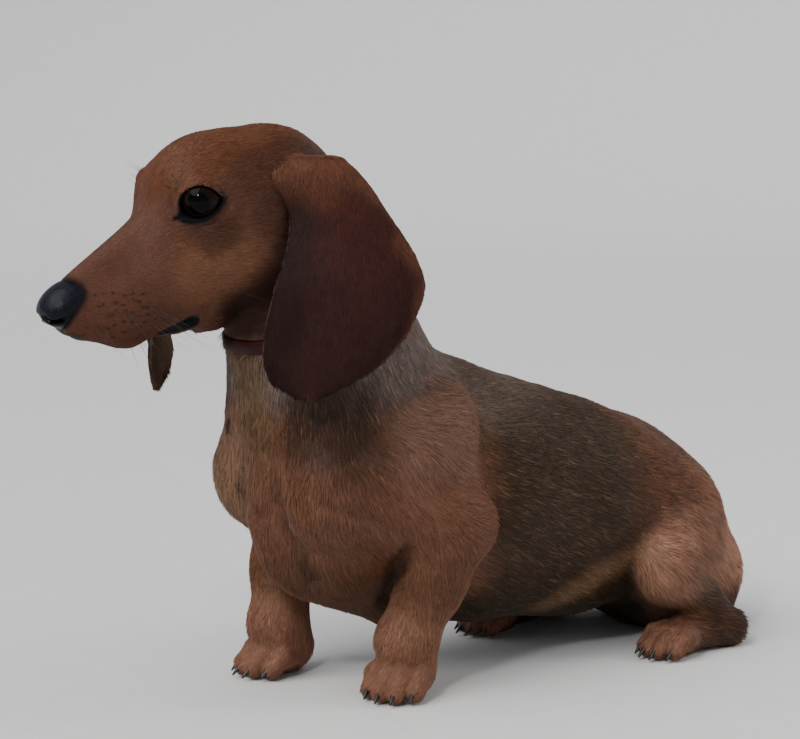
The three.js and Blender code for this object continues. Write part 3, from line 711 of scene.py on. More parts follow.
def net_faces(inside, number):
    """A face for each edge of the grid that crosses the surface, between the four cells round it."""
    faces = []
    count = inside.shape
    for axis in range(3):
        first = [slice(1, n - 1) for n in count]
        first[axis] = slice(0, count[axis] - 1)
        second = list(first)
        second[axis] = slice(1, count[axis])
        spots = np.argwhere(inside[tuple(first)] != inside[tuple(second)]) + [s.start for s in first]
        du, dv = AXES[(axis + 1) % 3], AXES[(axis + 2) % 3]
        quads = np.stack([number[tuple((spots - d).T)] for d in (du + dv, dv, 0 * du, du)], -1)
        flip = ~inside[tuple(spots.T)]
        quads[flip] = quads[flip][:, ::-1]
        faces.append(quads)
    return np.concatenate(faces)


def surface(form, low, high, cell):
    """Points and four-sided faces of a form's surface, by surface nets."""
    low = np.array(low, float)
    count = np.ceil((np.array(high) - low) / cell).astype(int) + 1
    values = values_on_grid(form, low, count, cell)
    inside = values < 0
    windows = [tuple(slice(c, n - 1 + c) for c, n in zip(corner, count)) for corner in CORNERS]
    corners_inside = sum(inside[window].astype(np.int8) for window in windows)
    crossed = (corners_inside > 0) & (corners_inside < 8)
    cells = np.argwhere(crossed)
    number = np.full(crossed.shape, -1)
    number[crossed] = np.arange(len(cells))
    points = low + (cells + crossings(values, cells)) * cell
    return settle(form, points, cell), net_faces(inside, number)


# How far apart a form is read for its slope, the least slope squared, and the longest move in cells
SLOPE_STEP = 0.05
LEAST_SLOPE = 0.04
LONGEST_MOVE = 0.6


def slopes(form, p):
    """The form at each point and the way in which it grows."""
    d = form(p)
    grown = np.stack([(form(p + axis * SLOPE_STEP) - d) / SLOPE_STEP for axis in (FORWARD, LEFT, UP)], -1)
    return d, grown


def settle(form, points, cell, steps=2):
    """Moves points onto a form's surface, but none further than the cell allows."""
    p = points
    for _ in range(steps):
        d, g = slopes(form, p)
        steep = np.maximum((g * g).sum(1), LEAST_SLOPE)
        move = -g * (d / steep)[:, None]
        far = np.linalg.norm(move, axis=1, keepdims=True)
        p = p + move * np.minimum(1, LONGEST_MOVE * cell / np.maximum(far, 1e-9))
    return p


# From the dog's frame to the frame's metres: the left eye tells where the model's origin went
eye_low, eye_high = (np.array(corner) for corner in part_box("eye_left"))
EYE_LEFT_AT = head_point(EYE_AT)
TO_WORLD = np.array([-1.0, -1.0, 1.0])
ORIGIN = (eye_low + eye_high) / 2 - EYE_LEFT_AT * TO_WORLD * MM


def to_world(p):
    return p * TO_WORLD * MM + ORIGIN


def way_to_world(a):
    """Turns a way into the frame, or back out of it."""
    return a * TO_WORLD


def add_object(name, data):
    """Puts a mesh, lamp or camera in the scene."""
    made = bpy.data.objects.new(name, data)
    bpy.context.collection.objects.link(made)
    return made


def make_object(name, points, faces):
    """A mesh object from points in the dog's frame. Faces is an array of equal faces, or a list."""
    mesh = bpy.data.meshes.new(name)
    where = to_world(np.asarray(points, float)).astype(np.float32)
    if isinstance(faces, np.ndarray):
        sides = faces.shape[1]
        mesh.vertices.add(len(where))
        mesh.vertices.foreach_set("co", where.ravel())
        mesh.loops.add(faces.size)
        mesh.loops.foreach_set("vertex_index", faces.astype(np.int32).ravel())
        mesh.polygons.add(len(faces))
        mesh.polygons.foreach_set("loop_start", np.arange(0, faces.size, sides, dtype=np.int32))
        mesh.update(calc_edges=True)
    else:
        mesh.from_pydata(where.tolist(), [], faces)
    mesh.polygons.foreach_set("use_smooth", np.ones(len(mesh.polygons), bool))
    return add_object(name, mesh)


def vertex_values(obj, name):
    flat = np.empty(len(obj.data.vertices) * 3, np.float32)
    obj.data.vertices.foreach_get(name, flat)
    return flat.reshape(-1, 3).astype(float)


def points_of(obj):
    """An object's points, in the dog's frame."""
    return (vertex_values(obj, "co") - ORIGIN) / (TO_WORLD * MM)


def ways_out_of(obj):
    """The way out of the surface at each of an object's points, in the dog's frame."""
    return way_to_world(vertex_values(obj, "normal"))


def put_points(obj, points):
    obj.data.vertices.foreach_set("co", to_world(points).astype(np.float32).ravel())
    obj.data.update()


def refine(obj, form, cell, wanted):
    """Splits the edges of the places wanted in two, and settles the new points on the form."""
    near = wanted(points_of(obj))
    made = bmesh.new()
    made.from_mesh(obj.data)
    made.verts.ensure_lookup_table()
    edges = [e for e in made.edges if near[e.verts[0].index] and near[e.verts[1].index]]
    bmesh.ops.subdivide_edges(made, edges=edges, cuts=1, use_grid_fill=True)
    made.to_mesh(obj.data)
    made.free()
    points = points_of(obj)
    near = wanted(points)
    points[near] = settle(form, points[near], cell)
    put_points(obj, points)


# Skin: the head with its ears down to the collar, and the rest of the body below it
COLLAR_AT = P(16, -3, 206)
COLLAR_UP = unit(P(0.3, 0.12, 0.95))
COLLAR_WIDTH = 7.5
# How far each skin reaches past the collar's middle, and how far the head's stays off the nose
SKIN_OVERLAP = 1.5
NOSE_GAP = 0.5
HEAD_CELL = 1.3
BODY_CELL = 2.5


def inset(form):
    return lambda p: form(p) + COAT_DEPTH


def above_collar(p):
    return (p - COLLAR_AT) @ COLLAR_UP


head_alone = inset(lambda p: np.maximum(head_and_bust(p), -above_collar(p) - SKIN_OVERLAP))
head_skin = carve(1.6, with_ears(head_alone), in_head(lambda p: leather(p) + NOSE_GAP))
body_alone = inset(lambda p: np.maximum(whole(p), above_collar(p) - SKIN_OVERLAP))
body_marks = dents(BODY_MARKS)


def body_skin(p):
    return body_alone(p) + body_marks(p)



def near_face_detail(p):
    """Round the eyes, the nose and the line of the mouth, where the skin needs finer faces."""
    q = head_place(p)
    near_eye = np.linalg.norm(eye_offset(q), axis=1) < 17
    gap, ahead = lip_line(q)
    near_lips = (np.abs(gap) < 3.5) & (ahead > -8) & (jaw_form(q) < 5)
    return near_eye | near_lips | (np.abs(leather(q)) < 3)


def near_feet(p):
    return (paws(p) < 3) & (p[:, 2] < 34)


def make_skin(name, form, low, high, cell, finer):
    """A form's surface as an object, with finer faces at the places wanted."""
    points, faces = surface(form, low, high, cell)
    skin = make_object(name, points, faces)
    refine(skin, form, cell / 2, finer)
    return skin


def make_skins():
    top = make_skin("skin_head", head_skin, (-45, -95, 130), (180, 80, 325), HEAD_CELL, near_face_detail)
    bottom = make_skin("skin_body", body_skin, (-330, -130, -12), (80, 110, 250), BODY_CELL, near_feet)
    points = points_of(bottom)
    points[:, 2] = np.maximum(points[:, 2], 0.0)
    put_points(bottom, points)
    return top, bottom


# Looks
class Look:
    """A material made of nodes, with short ways to add the nodes that the looks share."""

    def __init__(self, name, roughness):
        self.made = bpy.data.materials.new(name)
        self.made.use_nodes = True
        self.tree = self.made.node_tree
        self.shader = self.tree.nodes["Principled BSDF"]
        self.set(Roughness=roughness)

    def put(self, socket, value):
        """Links a node's output to a socket, or sets the socket to a number or a colour."""
        if isinstance(value, bpy.types.NodeSocket):
            self.tree.links.new(value, socket)
        else:
            socket.default_value = (*value, 1) if isinstance(value, tuple) else value

    def put_named(self, node, values):
        """Fills sockets by their names, in which a space is written as an underscore."""
        for name, value in values.items():
            self.put(node.inputs[name.replace("_", " ")], value)

    def set(self, **values):
        self.put_named(self.shader, values)

    def node(self, kind, *inputs, how=None, **named):
        """Adds a node with its operation, its first sockets in order and others by their names."""
        made = self.tree.nodes.new("ShaderNode" + kind)
        if how:
            made.operation = how
        for socket, value in zip(made.inputs, inputs):
            self.put(socket, value)
        self.put_named(made, named)
        return made

    def attribute(self, name, output="Fac"):
        made = self.node("Attribute")
        made.attribute_name = name
        return made.outputs[output]

    def place(self):
        """Places on the object, in metres."""
        return self.node("TexCoord").outputs["Object"]

    def noise(self, where, size, detail=3.0):
        """Noise from about 0.3 to 0.7 with lumps of the size given, in metres."""
        made = self.node("TexNoise", Vector=where, Scale=1 / size, Detail=detail, Roughness=0.55)
        return made.outputs["Fac"]

    def spread(self, value, low, high, start=0.3, end=0.7):
        """Maps a value that runs from start to end onto low to high."""
        made = self.node("MapRange", Value=value, From_Min=start, From_Max=end, To_Min=low, To_Max=high)
        return made.outputs["Result"]

    def mix(self, amount, a, b):
        return self.node("MixRGB", amount, a, b).outputs[0]

    def between(self, fleck, a, b):
        """A colour that goes from a to b with a noise."""
        return self.mix(self.spread(fleck, 0.0, 1.0), a, b)

    def product(self, a, b):
        return self.node("Math", a, b, how="MULTIPLY").outputs[0]

    def scaled(self, colour, amount):
        """A colour made lighter or darker by a value."""
        return self.node("VectorMath", colour, how="SCALE", Scale=amount).outputs["Vector"]

    def bump(self, height, distance, strength, **under):
        """A bump in metres, which lies over the one given as Normal, if any."""
        made = self.node("Bump", Height=height, Distance=distance, Strength=strength, **under)
        return made.outputs["Normal"]


def along_the_lie(look):
    """The place, shortened along the way the hair lies, so that noise on it runs in streaks."""
    way = look.attribute("lie", "Vector")
    place = look.place()
    along = look.node("VectorMath", place, way, how="DOT_PRODUCT").outputs["Value"]
    part = look.scaled(way, look.product(along, 0.9))
    return look.node("VectorMath", place, part, how="SUBTRACT").outputs["Vector"]


def skin_look():
    """Close short hair and bare skin: markings and painted light from the mesh, streaks and bump along the
    lie.
    """
    look = Look("short_coat", 0.55)
    place = look.place()
    streaks = look.noise(along_the_lie(look), 0.0007, 2.0)
    patches = look.noise(place, 0.004)
    grain = look.noise(place, 0.0009, 2.0)
    colour = look.scaled(look.attribute("coat", "Color"), look.spread(streaks, 0.72, 1.25))
    hair = look.bump(streaks, 0.00035, 0.8)
    look.set(
        Base_Color=look.scaled(colour, look.spread(patches, 0.92, 1.08)),
        Normal=look.bump(grain, 0.00012, 0.5, Normal=hair),
        Roughness=look.spread(look.attribute("bare"), 0.56, 0.46, 0.0, 1.0),
        Specular_IOR_Level=0.12,
        Sheen_Weight=0.03,
        Sheen_Roughness=0.4,
    )
    return look.made


def tuft_look(name, gloss):
    """Single tufts: each has its own shade in the mesh, with a fine grain."""
    look = Look(name, 0.5)
    grain = look.noise(look.place(), 0.0006, 2.0)
    look.set(
        Base_Color=look.scaled(look.attribute("coat", "Color"), look.spread(grain, 0.85, 1.15)),
        Roughness=look.spread(grain, 0.48, 0.62),
        Specular_IOR_Level=gloss,
        Sheen_Weight=gloss * 0.15,
        Sheen_Roughness=0.4,
    )
    return look.made


def eye_look():
    """Wet eye: a dark brown iris with fine rays round a black pupil, under a clear gloss."""
    look = Look("wet_eye", 0.12)
    from_middle = look.attribute("from_middle")
    out_of_pupil = look.spread(from_middle, 0.0, 1.0, 0.34, 0.38)
    out_of_iris = look.spread(from_middle, 0.0, 1.0, 0.56, 0.62)
    rays = look.noise(look.attribute("ray_place", "Vector"), 0.06)
    iris = look.between(rays, (0.004, 0.002, 0.0015), (0.013, 0.0055, 0.0032))
    iris = look.mix(out_of_pupil, (0.0006, 0.0006, 0.0008), iris)
    look.set(
        Base_Color=look.mix(out_of_iris, iris, (0.003, 0.0026, 0.003)),
        Roughness=look.spread(look.noise(look.place(), 0.0045, 2.0), 0.01, 0.04),
        Specular_IOR_Level=0.08,
    )
    return look.made


def leather_look():
    """Nose leather: blue-black, pebbled and half wet, with a painted highlight that makes its top lighter
    and bluer.
    """
    look = Look("nose_leather", 0.35)
    place = look.place()
    pebbles = look.node("TexVoronoi", Vector=place, Scale=1 / 0.0012)
    pebbles.feature = "SMOOTH_F1"
    spots = look.noise(place, 0.003)
    # painted highlight: the top of the nose lighter and bluer, its underside near black
    top = look.between(spots, (0.0022, 0.0030, 0.0060), (0.0060, 0.0080, 0.0150))
    raised = look.spread(look.attribute("height"), 0.0, 1.0, 0.35, 0.75)
    look.set(
        Base_Color=look.mix(raised, (0.0006, 0.0006, 0.0007), top),
        Normal=look.bump(pebbles.outputs["Distance"], 0.0003, 0.55),
        Roughness=look.spread(spots, 0.28, 0.5),
        Specular_IOR_Level=0.16,
    )
    return look.made


def claw_look():
    """Horn: near black with paler streaks along it."""
    look = Look("claw", 0.35)
    streaks = look.noise(along_the_lie(look), 0.0008)
    look.set(
        Base_Color=look.between(streaks, (0.004, 0.003, 0.003), (0.02, 0.013, 0.010)),
        Normal=look.bump(streaks, 0.0001, 0.4),
        Roughness=look.spread(streaks, 0.28, 0.42),
    )
    return look.made


def whisker_look():
    look = Look("whisker", 0.35)
    shade = look.noise(look.place(), 0.006)
    look.set(Base_Color=look.between(shade, (0.004, 0.003, 0.003), (0.02, 0.014, 0.011)))
    return look.made


def strap_look():
    """Dark red-purple strap: a close weave of slanting ribs, with a little wear."""
    look = Look("strap", 0.5)
    run = look.attribute("strap_place", "Vector")
    ribs = look.node("TexWave", Vector=run, Scale=330.0, Distortion=0.4)
    ribs.bands_direction = "DIAGONAL"
    cross_ribs = look.node("TexWave", Vector=run, Scale=200.0, Distortion=0.2)
    cross_ribs.bands_direction = "Y"
    weave = look.product(ribs.outputs["Fac"], cross_ribs.outputs["Fac"])
    wear = look.noise(look.place(), 0.005)
    colour = look.between(wear, (0.020, 0.0014, 0.0028), (0.044, 0.0036, 0.0065))
    look.set(
        Base_Color=look.scaled(colour, look.spread(weave, 0.7, 1.2, 0.0, 1.0)),
        Normal=look.bump(weave, 0.00018, 0.7),
        Roughness=look.spread(wear, 0.42, 0.62),
        Specular_IOR_Level=0.15,
    )
    return look.made


def floor_look():
    look = Look("floor", 0.85)
    grain = look.noise(look.place(), 0.02)
    look.set(Base_Color=look.between(grain, (0.78, 0.775, 0.765), (0.81, 0.805, 0.795)))
    return look.made


# Noise
HASH_STEPS = np.array([374761393, 668265263, 2147483647])
HASH_SEED = 144269
HASH_FACTOR = 1274126177
HASH_BITS = 0xFFFFFFFF


def noise(p, size, seed):
    """Smooth noise from -1 to 1, with lumps of about the size given."""
    q = p / size + seed * 17.3
    cell = np.floor(q).astype(np.int64)
    f = q - cell
    f = f * f * (3 - 2 * f)
    total = np.zeros(len(p))
    for corner in CORNERS:
        h = ((cell + corner) @ HASH_STEPS + seed * HASH_SEED) & HASH_BITS
        h = ((h ^ (h >> 13)) * HASH_FACTOR) & HASH_BITS
        value = ((h ^ (h >> 16)) & 0xFFFF) / 32767.5 - 1
        total += value * np.prod(np.where(corner, f, 1 - f), axis=1)
    return total


TINT_GAIN = 2.0
TINT_CONTRAST = 1.3


def tint(red, green, blue):
    """A coat colour from 0 to 255, as it should look in the shade of the studio, as linear light."""
    c = np.array([red, green, blue]) / 255
    linear = np.where(c <= 0.04045, c / 12.92, ((c + 0.055) / 1.055) ** 2.4)
    return TINT_GAIN * linear**TINT_CONTRAST


# Colours of the coat, and of the painted light and shade laid on it
SKIN_SHADE = 0.9
RED = tint(101, 72, 57)
DEEP_RED = tint(84, 54, 38)
WARM_EDGE = tint(122, 80, 50)
# painted highlight on the cheek
CHEEK_HIGHLIGHT = tint(113, 83, 64)
FACE = tint(90, 62, 50)
FOREHEAD = tint(94, 62, 44)
TEMPLE = tint(74, 47, 34)
UNDER_EYE = tint(66, 40, 27)
# painted shadow under the cheek, where the jaw meets the neck
JOWL_SHADOW = tint(46, 25, 14)
SABLE = tint(60, 44, 30)
# sable along the spine, painted paler and greyer with sheen
SPINE_SABLE_SHEEN = tint(85, 70, 61)
GREY_NECK = tint(102, 92, 88)
# dark brown fur with the painted shadow of the ear over it
NECK_BROWN_AND_SHADOW = tint(46, 30, 16)
TAN_FRONT = tint(96, 78, 60)
BUFF = tint(112, 90, 70)
EAR_ROOT = tint(98, 68, 54)
EAR_RED = tint(70, 42, 37)
EAR_DARK = tint(60, 39, 37)
EAR_RIM = tint(92, 66, 56)
LID_BLACK = tint(15, 17, 28)
LIP_BLACK = tint(15, 12, 12)
# painted shade under the belly
BELLY_SHADE = tint(49, 36, 19)
# painted sheen: a paler, greyer red over the shoulder blade
SHOULDER_SHEEN = tint(117, 93, 81)
# painted light: the lit side of the breast, and the highlight along the breastbone
LIT_BREAST = tint(114, 91, 75)
# painted shade on the underside of the chest
KEEL_SHADE = tint(90, 64, 47)
# painted shade in creases, hollows and folds, and on the head beside the ears
CREASE_SHADE = tint(38, 20, 14)
# the red coat of the haunch, painted paler as in sunlight
SUNLIT_HAUNCH = tint(139, 107, 91)
# painted shade low on the hind legs, at the hock
HOCK_SHADE = tint(62, 38, 22)
GOLD = tint(118, 94, 66)
EAR_INSIDE = tint(104, 86, 74)
SPOT_DARK = tint(40, 24, 18)
PAW_RED = tint(117, 87, 72)

# Forms that the body's markings and painted light follow: a painted highlight on the ridge of the breast,
# painted shade in its hollows and in the folds before and behind the forelegs, and a buff fringe from the
# belly up the fold of the flank
BREAST_RIDGE_HIGHLIGHT = both(cone(P(57, 3, 150), P(51, 5, 108), 2, 2))
BREAST_HOLLOW_SHADE = both(cone(P(49, 20, 120), P(28, 18, 66), 3, 5))
BREAST_SPOT = P(50, -30, 149)
SHADED_CREASES = (
    both(cone(P(-5, 61, 86), P(-10, 46, 72), 2.5, 4)),
    both(cone(P(-10, 46, 72), P(-19, 22, 48), 4, 4)),
)
FRINGE = (
    both(cone(P(-118, 28, 30), P(-146, 52, 51), 5, 8)),
    both(cone(P(-146, 52, 51), P(-180, 62, 66), 8, 4)),
)


def layered(base, *layers):
    """Lays colours or ways over one another, each by an amount for each point."""
    for over, amount in layers:
        base = base + (over - base) * amount[:, None]
    return base


def back_layers(p, lumps):
    """The saddle: darker from the withers back over ribs and loin, paler and greyer along the spine with
    painted sheen, and painted shade under the belly.
    """
    f, _, u = p.T
    saddle = ramp(f + lumps * 8, -56, -78) * ramp(u + lumps * 14, 26, 50)
    # painted sheen along the top of the back
    top = ramp(u + lumps * 6 + 0.18 * (f + 80), 134, 160) * ramp(f, -36, -66)
    rear = ramp(f + lumps * 14, -150, -206) * ramp(u, 40, 110)
    # painted shade low on the trunk, under the belly
    belly = ramp(u + lumps * 8, 62, 40) * ramp(f, -40, -66)
    return (SABLE, saddle), (SPINE_SABLE_SHEEN, top), (DEEP_RED * 1.3, rear * 0.85), (BELLY_SHADE, belly)


def shoulder_layers(p, lumps):
    """Red shoulder, warm at its rear edge, with painted sheen that makes it paler over the blade."""
    f, l, u = p.T
    near = shoulders(p)
    red = ramp(near, 4, -6) * ramp(u, 168, 140)
    edge = ramp(np.abs(near + 3), 5, 0) * ramp(f, -40, -52)
    # painted sheen over the shoulder blade
    blade = ramp(np.abs(l), 30, 46) * ramp(f, 10, -8) * ramp(f, -62, -44) * ramp(u + lumps * 6, 108, 134)
    return (RED, red * 0.9), (WARM_EDGE, edge * 0.6), (SHOULDER_SHEEN, blade * ramp(u, 184, 156) * 0.6)


def neck_layers(p, lumps):
    """Neck: grizzled under the ear, dark before it with dark fur and the ear's painted shadow, and tan down
    its front.
    """
    f, l, u = p.T
    grey = ramp(neck(p) + lumps * 3, 5, -2) * ramp(u + lumps * 8, 150, 174)
    # dark fur before the ear, darkened further by the ear's painted shadow
    shade = ramp(np.hypot((f - 30) * 0.8, u - 156) + lumps * 8, 38, 12) * ramp(np.abs(l), 18, 34)
    front = ramp(f + lumps * 6, 26, 46) * ramp(np.abs(l), 26, 8) * ramp(u, 112, 160)
    return (GREY_NECK, grey), (NECK_BROWN_AND_SHADOW, shade * 0.8), (TAN_FRONT, front * 0.85)


def breast_layers(p, lumps):
    """The flank's fringe, a right breast painted paler where the light falls on it, with one dark spot, and
    painted shade on the keel under it.
    """
    f, l, u = p.T
    fringe = np.minimum(*[form(p) for form in FRINGE])
    # painted light on the right breast, which faces the light
    pale = ramp(l, -6, -22) * ramp(f, 10, 34) * ramp(u, 166, 150) * ramp(u, 84, 106)
    spot = ramp(np.linalg.norm(p - BREAST_SPOT, axis=1) + lumps * 2, 6, 3)
    # painted shade on the underside of the chest, between the forelegs
    keel = ramp(u + lumps * 8, 92, 64) * ramp(f, -40, -20)
    fringe = ramp(fringe + lumps * 8, 8, -8)
    return (BUFF, fringe * 0.8), (LIT_BREAST, pale), (LIP_BLACK, spot * 0.85), (KEEL_SHADE, keel * 0.9)


def leg_layers(p, lumps):
    """Paler feet, haunches painted paler as in sunlight, and hind legs darkened towards the hock with
    painted shade.
    """
    f, l, u = p.T
    thigh_near = haunches(p)
    foot = ramp(forelegs_and_feet(p), 4, -2) * ramp(u, 64, 34)
    # the haunch painted paler, as in sunlight
    haunch_sunlight = ramp(thigh_near + lumps * 4, 6, -5) * ramp(u + lumps * 6, 8, 36)
    # painted shade: the hind legs darken low down, towards the hock
    low_leg_shade = ramp(np.minimum(hind_shanks(p), thigh_near + 2), 4, -2) * ramp(u + lumps * 6, 42, 22)
    behind = np.where(l > 0, f, f - 30)
    hock_shade = low_leg_shade * ramp(behind + lumps * 6, -206, -222)
    return (PAW_RED, foot), (SUNLIT_HAUNCH, haunch_sunlight), (DEEP_RED, low_leg_shade * 0.8), (HOCK_SHADE, hock_shade)


def fold_light_and_shade(p):
    """Painted light: a highlight along the breastbone, and painted shade in the hollows and folds."""
    ridge = ramp(BREAST_RIDGE_HIGHLIGHT(p), 1.5, -1.5)
    hollow = ramp(BREAST_HOLLOW_SHADE(p), 5, -4)
    folds = [(CREASE_SHADE, ramp(crease(p), 4, -3) * 0.75) for crease in SHADED_CREASES]
    return (LIT_BREAST, ridge * 0.45), (CREASE_SHADE, hollow * 0.4), *folds


def body_colours(p):
    """The markings of trunk, neck, legs and tail, with painted light and shade, worked out from where a
    point is.
    """
    lumps = noise(p, 26, 1) * 0.5 + noise(p, 11, 2) * 0.3
    colour = RED
    for layers in (back_layers, shoulder_layers, neck_layers, breast_layers, leg_layers):
        colour = layered(colour, *layers(p, lumps))
    return layered(colour, *fold_light_and_shade(p), (DEEP_RED, ramp(tail(p), 4, -2)))


def whisker_spots(q):
    """How near each point of the head is to one of the dark spots that the whiskers grow from."""
    x, y, z = q.T
    near = np.zeros(len(q))
    for row in range(5):
        for k in range(6):
            at_x = 42 + 4.2 * k + 2.1 * (row % 2) + 1.1 * math.sin(3.1 * k + row)
            at_z = -29.5 - 3.6 * row - 0.26 * (at_x - 42) * (row - 4) * 0.4 + 0.8 * math.sin(2.3 * k)
            near = np.maximum(near, ramp(np.hypot((x - at_x) * 0.7, z - at_z), 1.0, 0.4))
    return near * (np.abs(y) > 10)


def head_colours(p):
    """The markings of the head without the ears, with a painted highlight on the cheek and painted shade
    under the jaw, at the back of the head and beside the ears.
    """
    q = head_place(p)
    x, y, z = q.T
    side = ramp(np.abs(y), 12, 22)
    lumps = noise(p, 18, 3) * 0.5 + noise(p, 7, 4) * 0.3
    cheek = ramp(np.hypot(x - 4, (z + 34) * 1.1) + lumps * 7, 34, 12)
    under_eye = ramp(np.hypot(x + 2, (z + 15) * 1.3) + lumps * 4, 17, 7) * side
    layers = [
        (FOREHEAD, ramp(z + lumps * 4, 2, 14)),
        (TEMPLE, ramp(x + lumps * 6, -16, -34) * ramp(z, 22, 6) * side * 0.8),
        # painted highlight: the cheek lighter where the light falls on it
        (CHEEK_HIGHLIGHT, cheek * 0.75),
        (UNDER_EYE, under_eye * 0.7),
        # painted shadow under the jaw, by the neck
        (JOWL_SHADOW, ramp(z + lumps * 5 + 0.2 * x, -42, -58) * ramp(x, 18, 2) * 0.85),
        # dark fur with the ear's painted shadow, low at the back of the head
        (NECK_BROWN_AND_SHADOW, ramp(x + lumps * 6, -34, -52) * ramp(z, 6, -22) * 0.4),
        (DEEP_RED * 0.9, ramp(z + lumps * 3, -42, -52) * ramp(x, 26, 40) * 0.6),
        (SPOT_DARK, whisker_spots(q) * 0.75),
    ]
    # painted shade on the head beside each ear
    for ear in ears.values():
        distance, _, down = ear.nearest(p)
        layers.append((CREASE_SHADE, ramp(distance, 8, 2.5) * ramp(down, 0.0, 0.06) * 0.6))
    layers += [(LID_BLACK, lid_rims(q)), (LIP_BLACK, lip_colour(q)), (LIP_BLACK, nose_edge(q))]
    return layered(FACE, *layers)


def lip_colour(q):
    """How far each point is bare black lip: a patch at the corner of the mouth, then a thin edge."""
    gap, ahead = lip_line(q)
    edge = ramp(gap, -2.4, -1.2) * ramp(gap, 1.6, 0.4) * ramp(ahead, 0, 2)
    return np.maximum(edge, ramp(lip_patch(q), 0.3, -0.8))


def lid_rims(q):
    """How far each point is bare lid rim, which is wider below and at the inner corner."""
    d = eye_offset(q)
    below = ramp(d @ eye_over, 1, -5)
    corner = ramp(d @ eye_along, -4, -9)
    width = 1.2 + 1.5 * below + 1.0 * corner
    near_eye = ramp(np.linalg.norm(d, axis=1), 24, 18)
    return np.maximum(ramp(almond(q) / width, 1.25, 0.75) * near_eye, ramp(tear_corner(q), 1.6, 0.6))


def nose_edge(q):
    """How far each point is the black skin round the nose and down the lip under it."""
    x, y, z = q.T
    under = ramp(x, 60, 65) * ramp(z, -33, -38) * ramp(np.abs(y), 13, 9)
    return np.maximum(ramp(leather(q), 2.4, 0.6) * 0.9, under)


def bare_amount(roots):
    """1 on the bare, moist rims of the lids, the lips and round the nose, and 0 in the coat."""
    q = head_place(roots.place)
    return np.maximum(np.maximum(lid_rims(q), lip_colour(q)), nose_edge(q)) * roots.on_head


def ear_colours(roots):
    """The markings of an ear, from how far across and down it a root is, paler on its inner side."""
    u, v = roots.across, roots.down
    lumps = noise(roots.place, 14, 5)
    inside = ramp(roots.out @ LEFT * np.sign(roots.place @ LEFT), -0.1, -0.5)
    rim = ramp(np.maximum(np.abs(u), v), 0.975, 1.0) * ramp(v, 0.4, 0.6) * ramp(u, 0.5, 0.0)
    return layered(
        EAR_DARK,
        (EAR_RED, ramp(v + lumps * 0.10 + np.abs(u + 0.15) * 0.15, 0.78, 0.2) * 0.9),
        (EAR_DARK * 0.4, ramp(u + lumps * 0.2, 0.2, 0.8) * 0.8),
        (EAR_ROOT, ramp(u + lumps * 0.2, -0.7, -1.0) * ramp(v, 0.75, 0.5) * 0.6),
        (EAR_INSIDE, inside * 0.8),
        (EAR_ROOT, ramp(v + lumps * 0.05, 0.3, 0.03)),
        (EAR_RIM, rim),
    )


def nearest_ear(p):
    """Which ear each point is on, 0 for none, with its place across and down it."""
    which = np.zeros(len(p), int)
    across = np.zeros(len(p))
    down = np.zeros(len(p))
    for k, ear in enumerate(ears.values()):
        distance, u, v = ear.nearest(p)
        on = distance < 2.6 + 2.0 * ramp(v, 0.3, 0.0)
        which[on], across[on], down[on] = k + 1, u[on], v[on]
    return which, across, down


# Lie of the coat
def lie_of(roots):
    """The way the hair points at each root, along the skin."""
    p = roots.place
    f, l, u = p.T
    tail_way = np.where((l < -40)[:, None], P(0.5, -0.86, 0), P(-0.7, -0.7, 0))
    way = layered(
        P(-0.9, 0, -0.42),
        (P(-0.25, 0, -1.0), ramp(neck(p), 6, -3) * ramp(u, 128, 160)),
        (P(-0.45, 0, -0.9), ramp(f, -60, -10) * ramp(u, 150, 128)),
        (P(-0.1, 0, -1.0), ramp(f, 10, 34) * ramp(u, 190, 160)),
        (P(-0.5, 0, -0.8), ramp(haunches(p), 6, -6)),
        (P(0.1, 0, -1.0), ramp(front_legs(p), 5, -2) * ramp(u, 100, 80)),
        (P(0.8, 0, -0.6), ramp(paws(p), 3, -2) * ramp(u, 26, 16)),
        (P(-0.9, 0, 0.0), ramp(u, 130, 155) * ramp(f, -40, -70)),
        (tail_way, ramp(tail(p), 3, -1)),
    )
    _, y, z = head_place(p).T
    back = -HEAD_FORWARD - HEAD_UP * (0.5 * ramp(z, 6, -30))[:, None]
    back = back + HEAD_LEFT * (0.35 * np.sign(y) * ramp(z, -20, 10))[:, None]
    way = np.where(roots.on_head[:, None], back, way)
    way = np.where((roots.which > 0)[:, None], P(0.05, 0, -1.0), way)
    wobble = np.stack([noise(p, 9, 7), noise(p, 9, 8), noise(p, 9, 9)], -1)
    way = unit(way) + wobble * 0.18
    return unit(way - roots.out * (way * roots.out).sum(1)[:, None])


# Tufts
def random_places(obj, spacing, rng):
    """Random places on an object's faces, about `spacing` apart, with the skin's way out at each."""
    mesh = obj.data
    mesh.calc_loop_triangles()
    count = len(mesh.loop_triangles)
    corners = np.empty(count * 3, np.int32)
    mesh.loop_triangles.foreach_get("vertices", corners)
    corners = corners.reshape(-1, 3)
    points = points_of(obj)
    normals = ways_out_of(obj)
    a, b, c = (points[corners[:, k]] for k in range(3))
    area = np.linalg.norm(np.cross(b - a, c - a), axis=1) / 2
    number = np.floor(area / (spacing * spacing) + rng.random(count)).astype(int)
    face = np.repeat(np.arange(count), number)
    s, t = rng.random((2, len(face), 1))
    over = s + t > 1
    s, t = np.where(over, 1 - s, s), np.where(over, 1 - t, t)
    place = a[face] * (1 - s - t) + b[face] * s + c[face] * t
    out = sum(normals[corners[face, k]] * w for k, w in ((0, 1 - s - t), (1, s), (2, t)))
    return place, unit(out)


class Roots:
    """Places where tufts grow, with all that their making needs. Picked by a mask as arrays are."""

    def __init__(self, **fields):
        self.__dict__.update(fields)

    def pick(self, mask):
        return Roots(**{name: values[mask] for name, values in vars(self).items()})


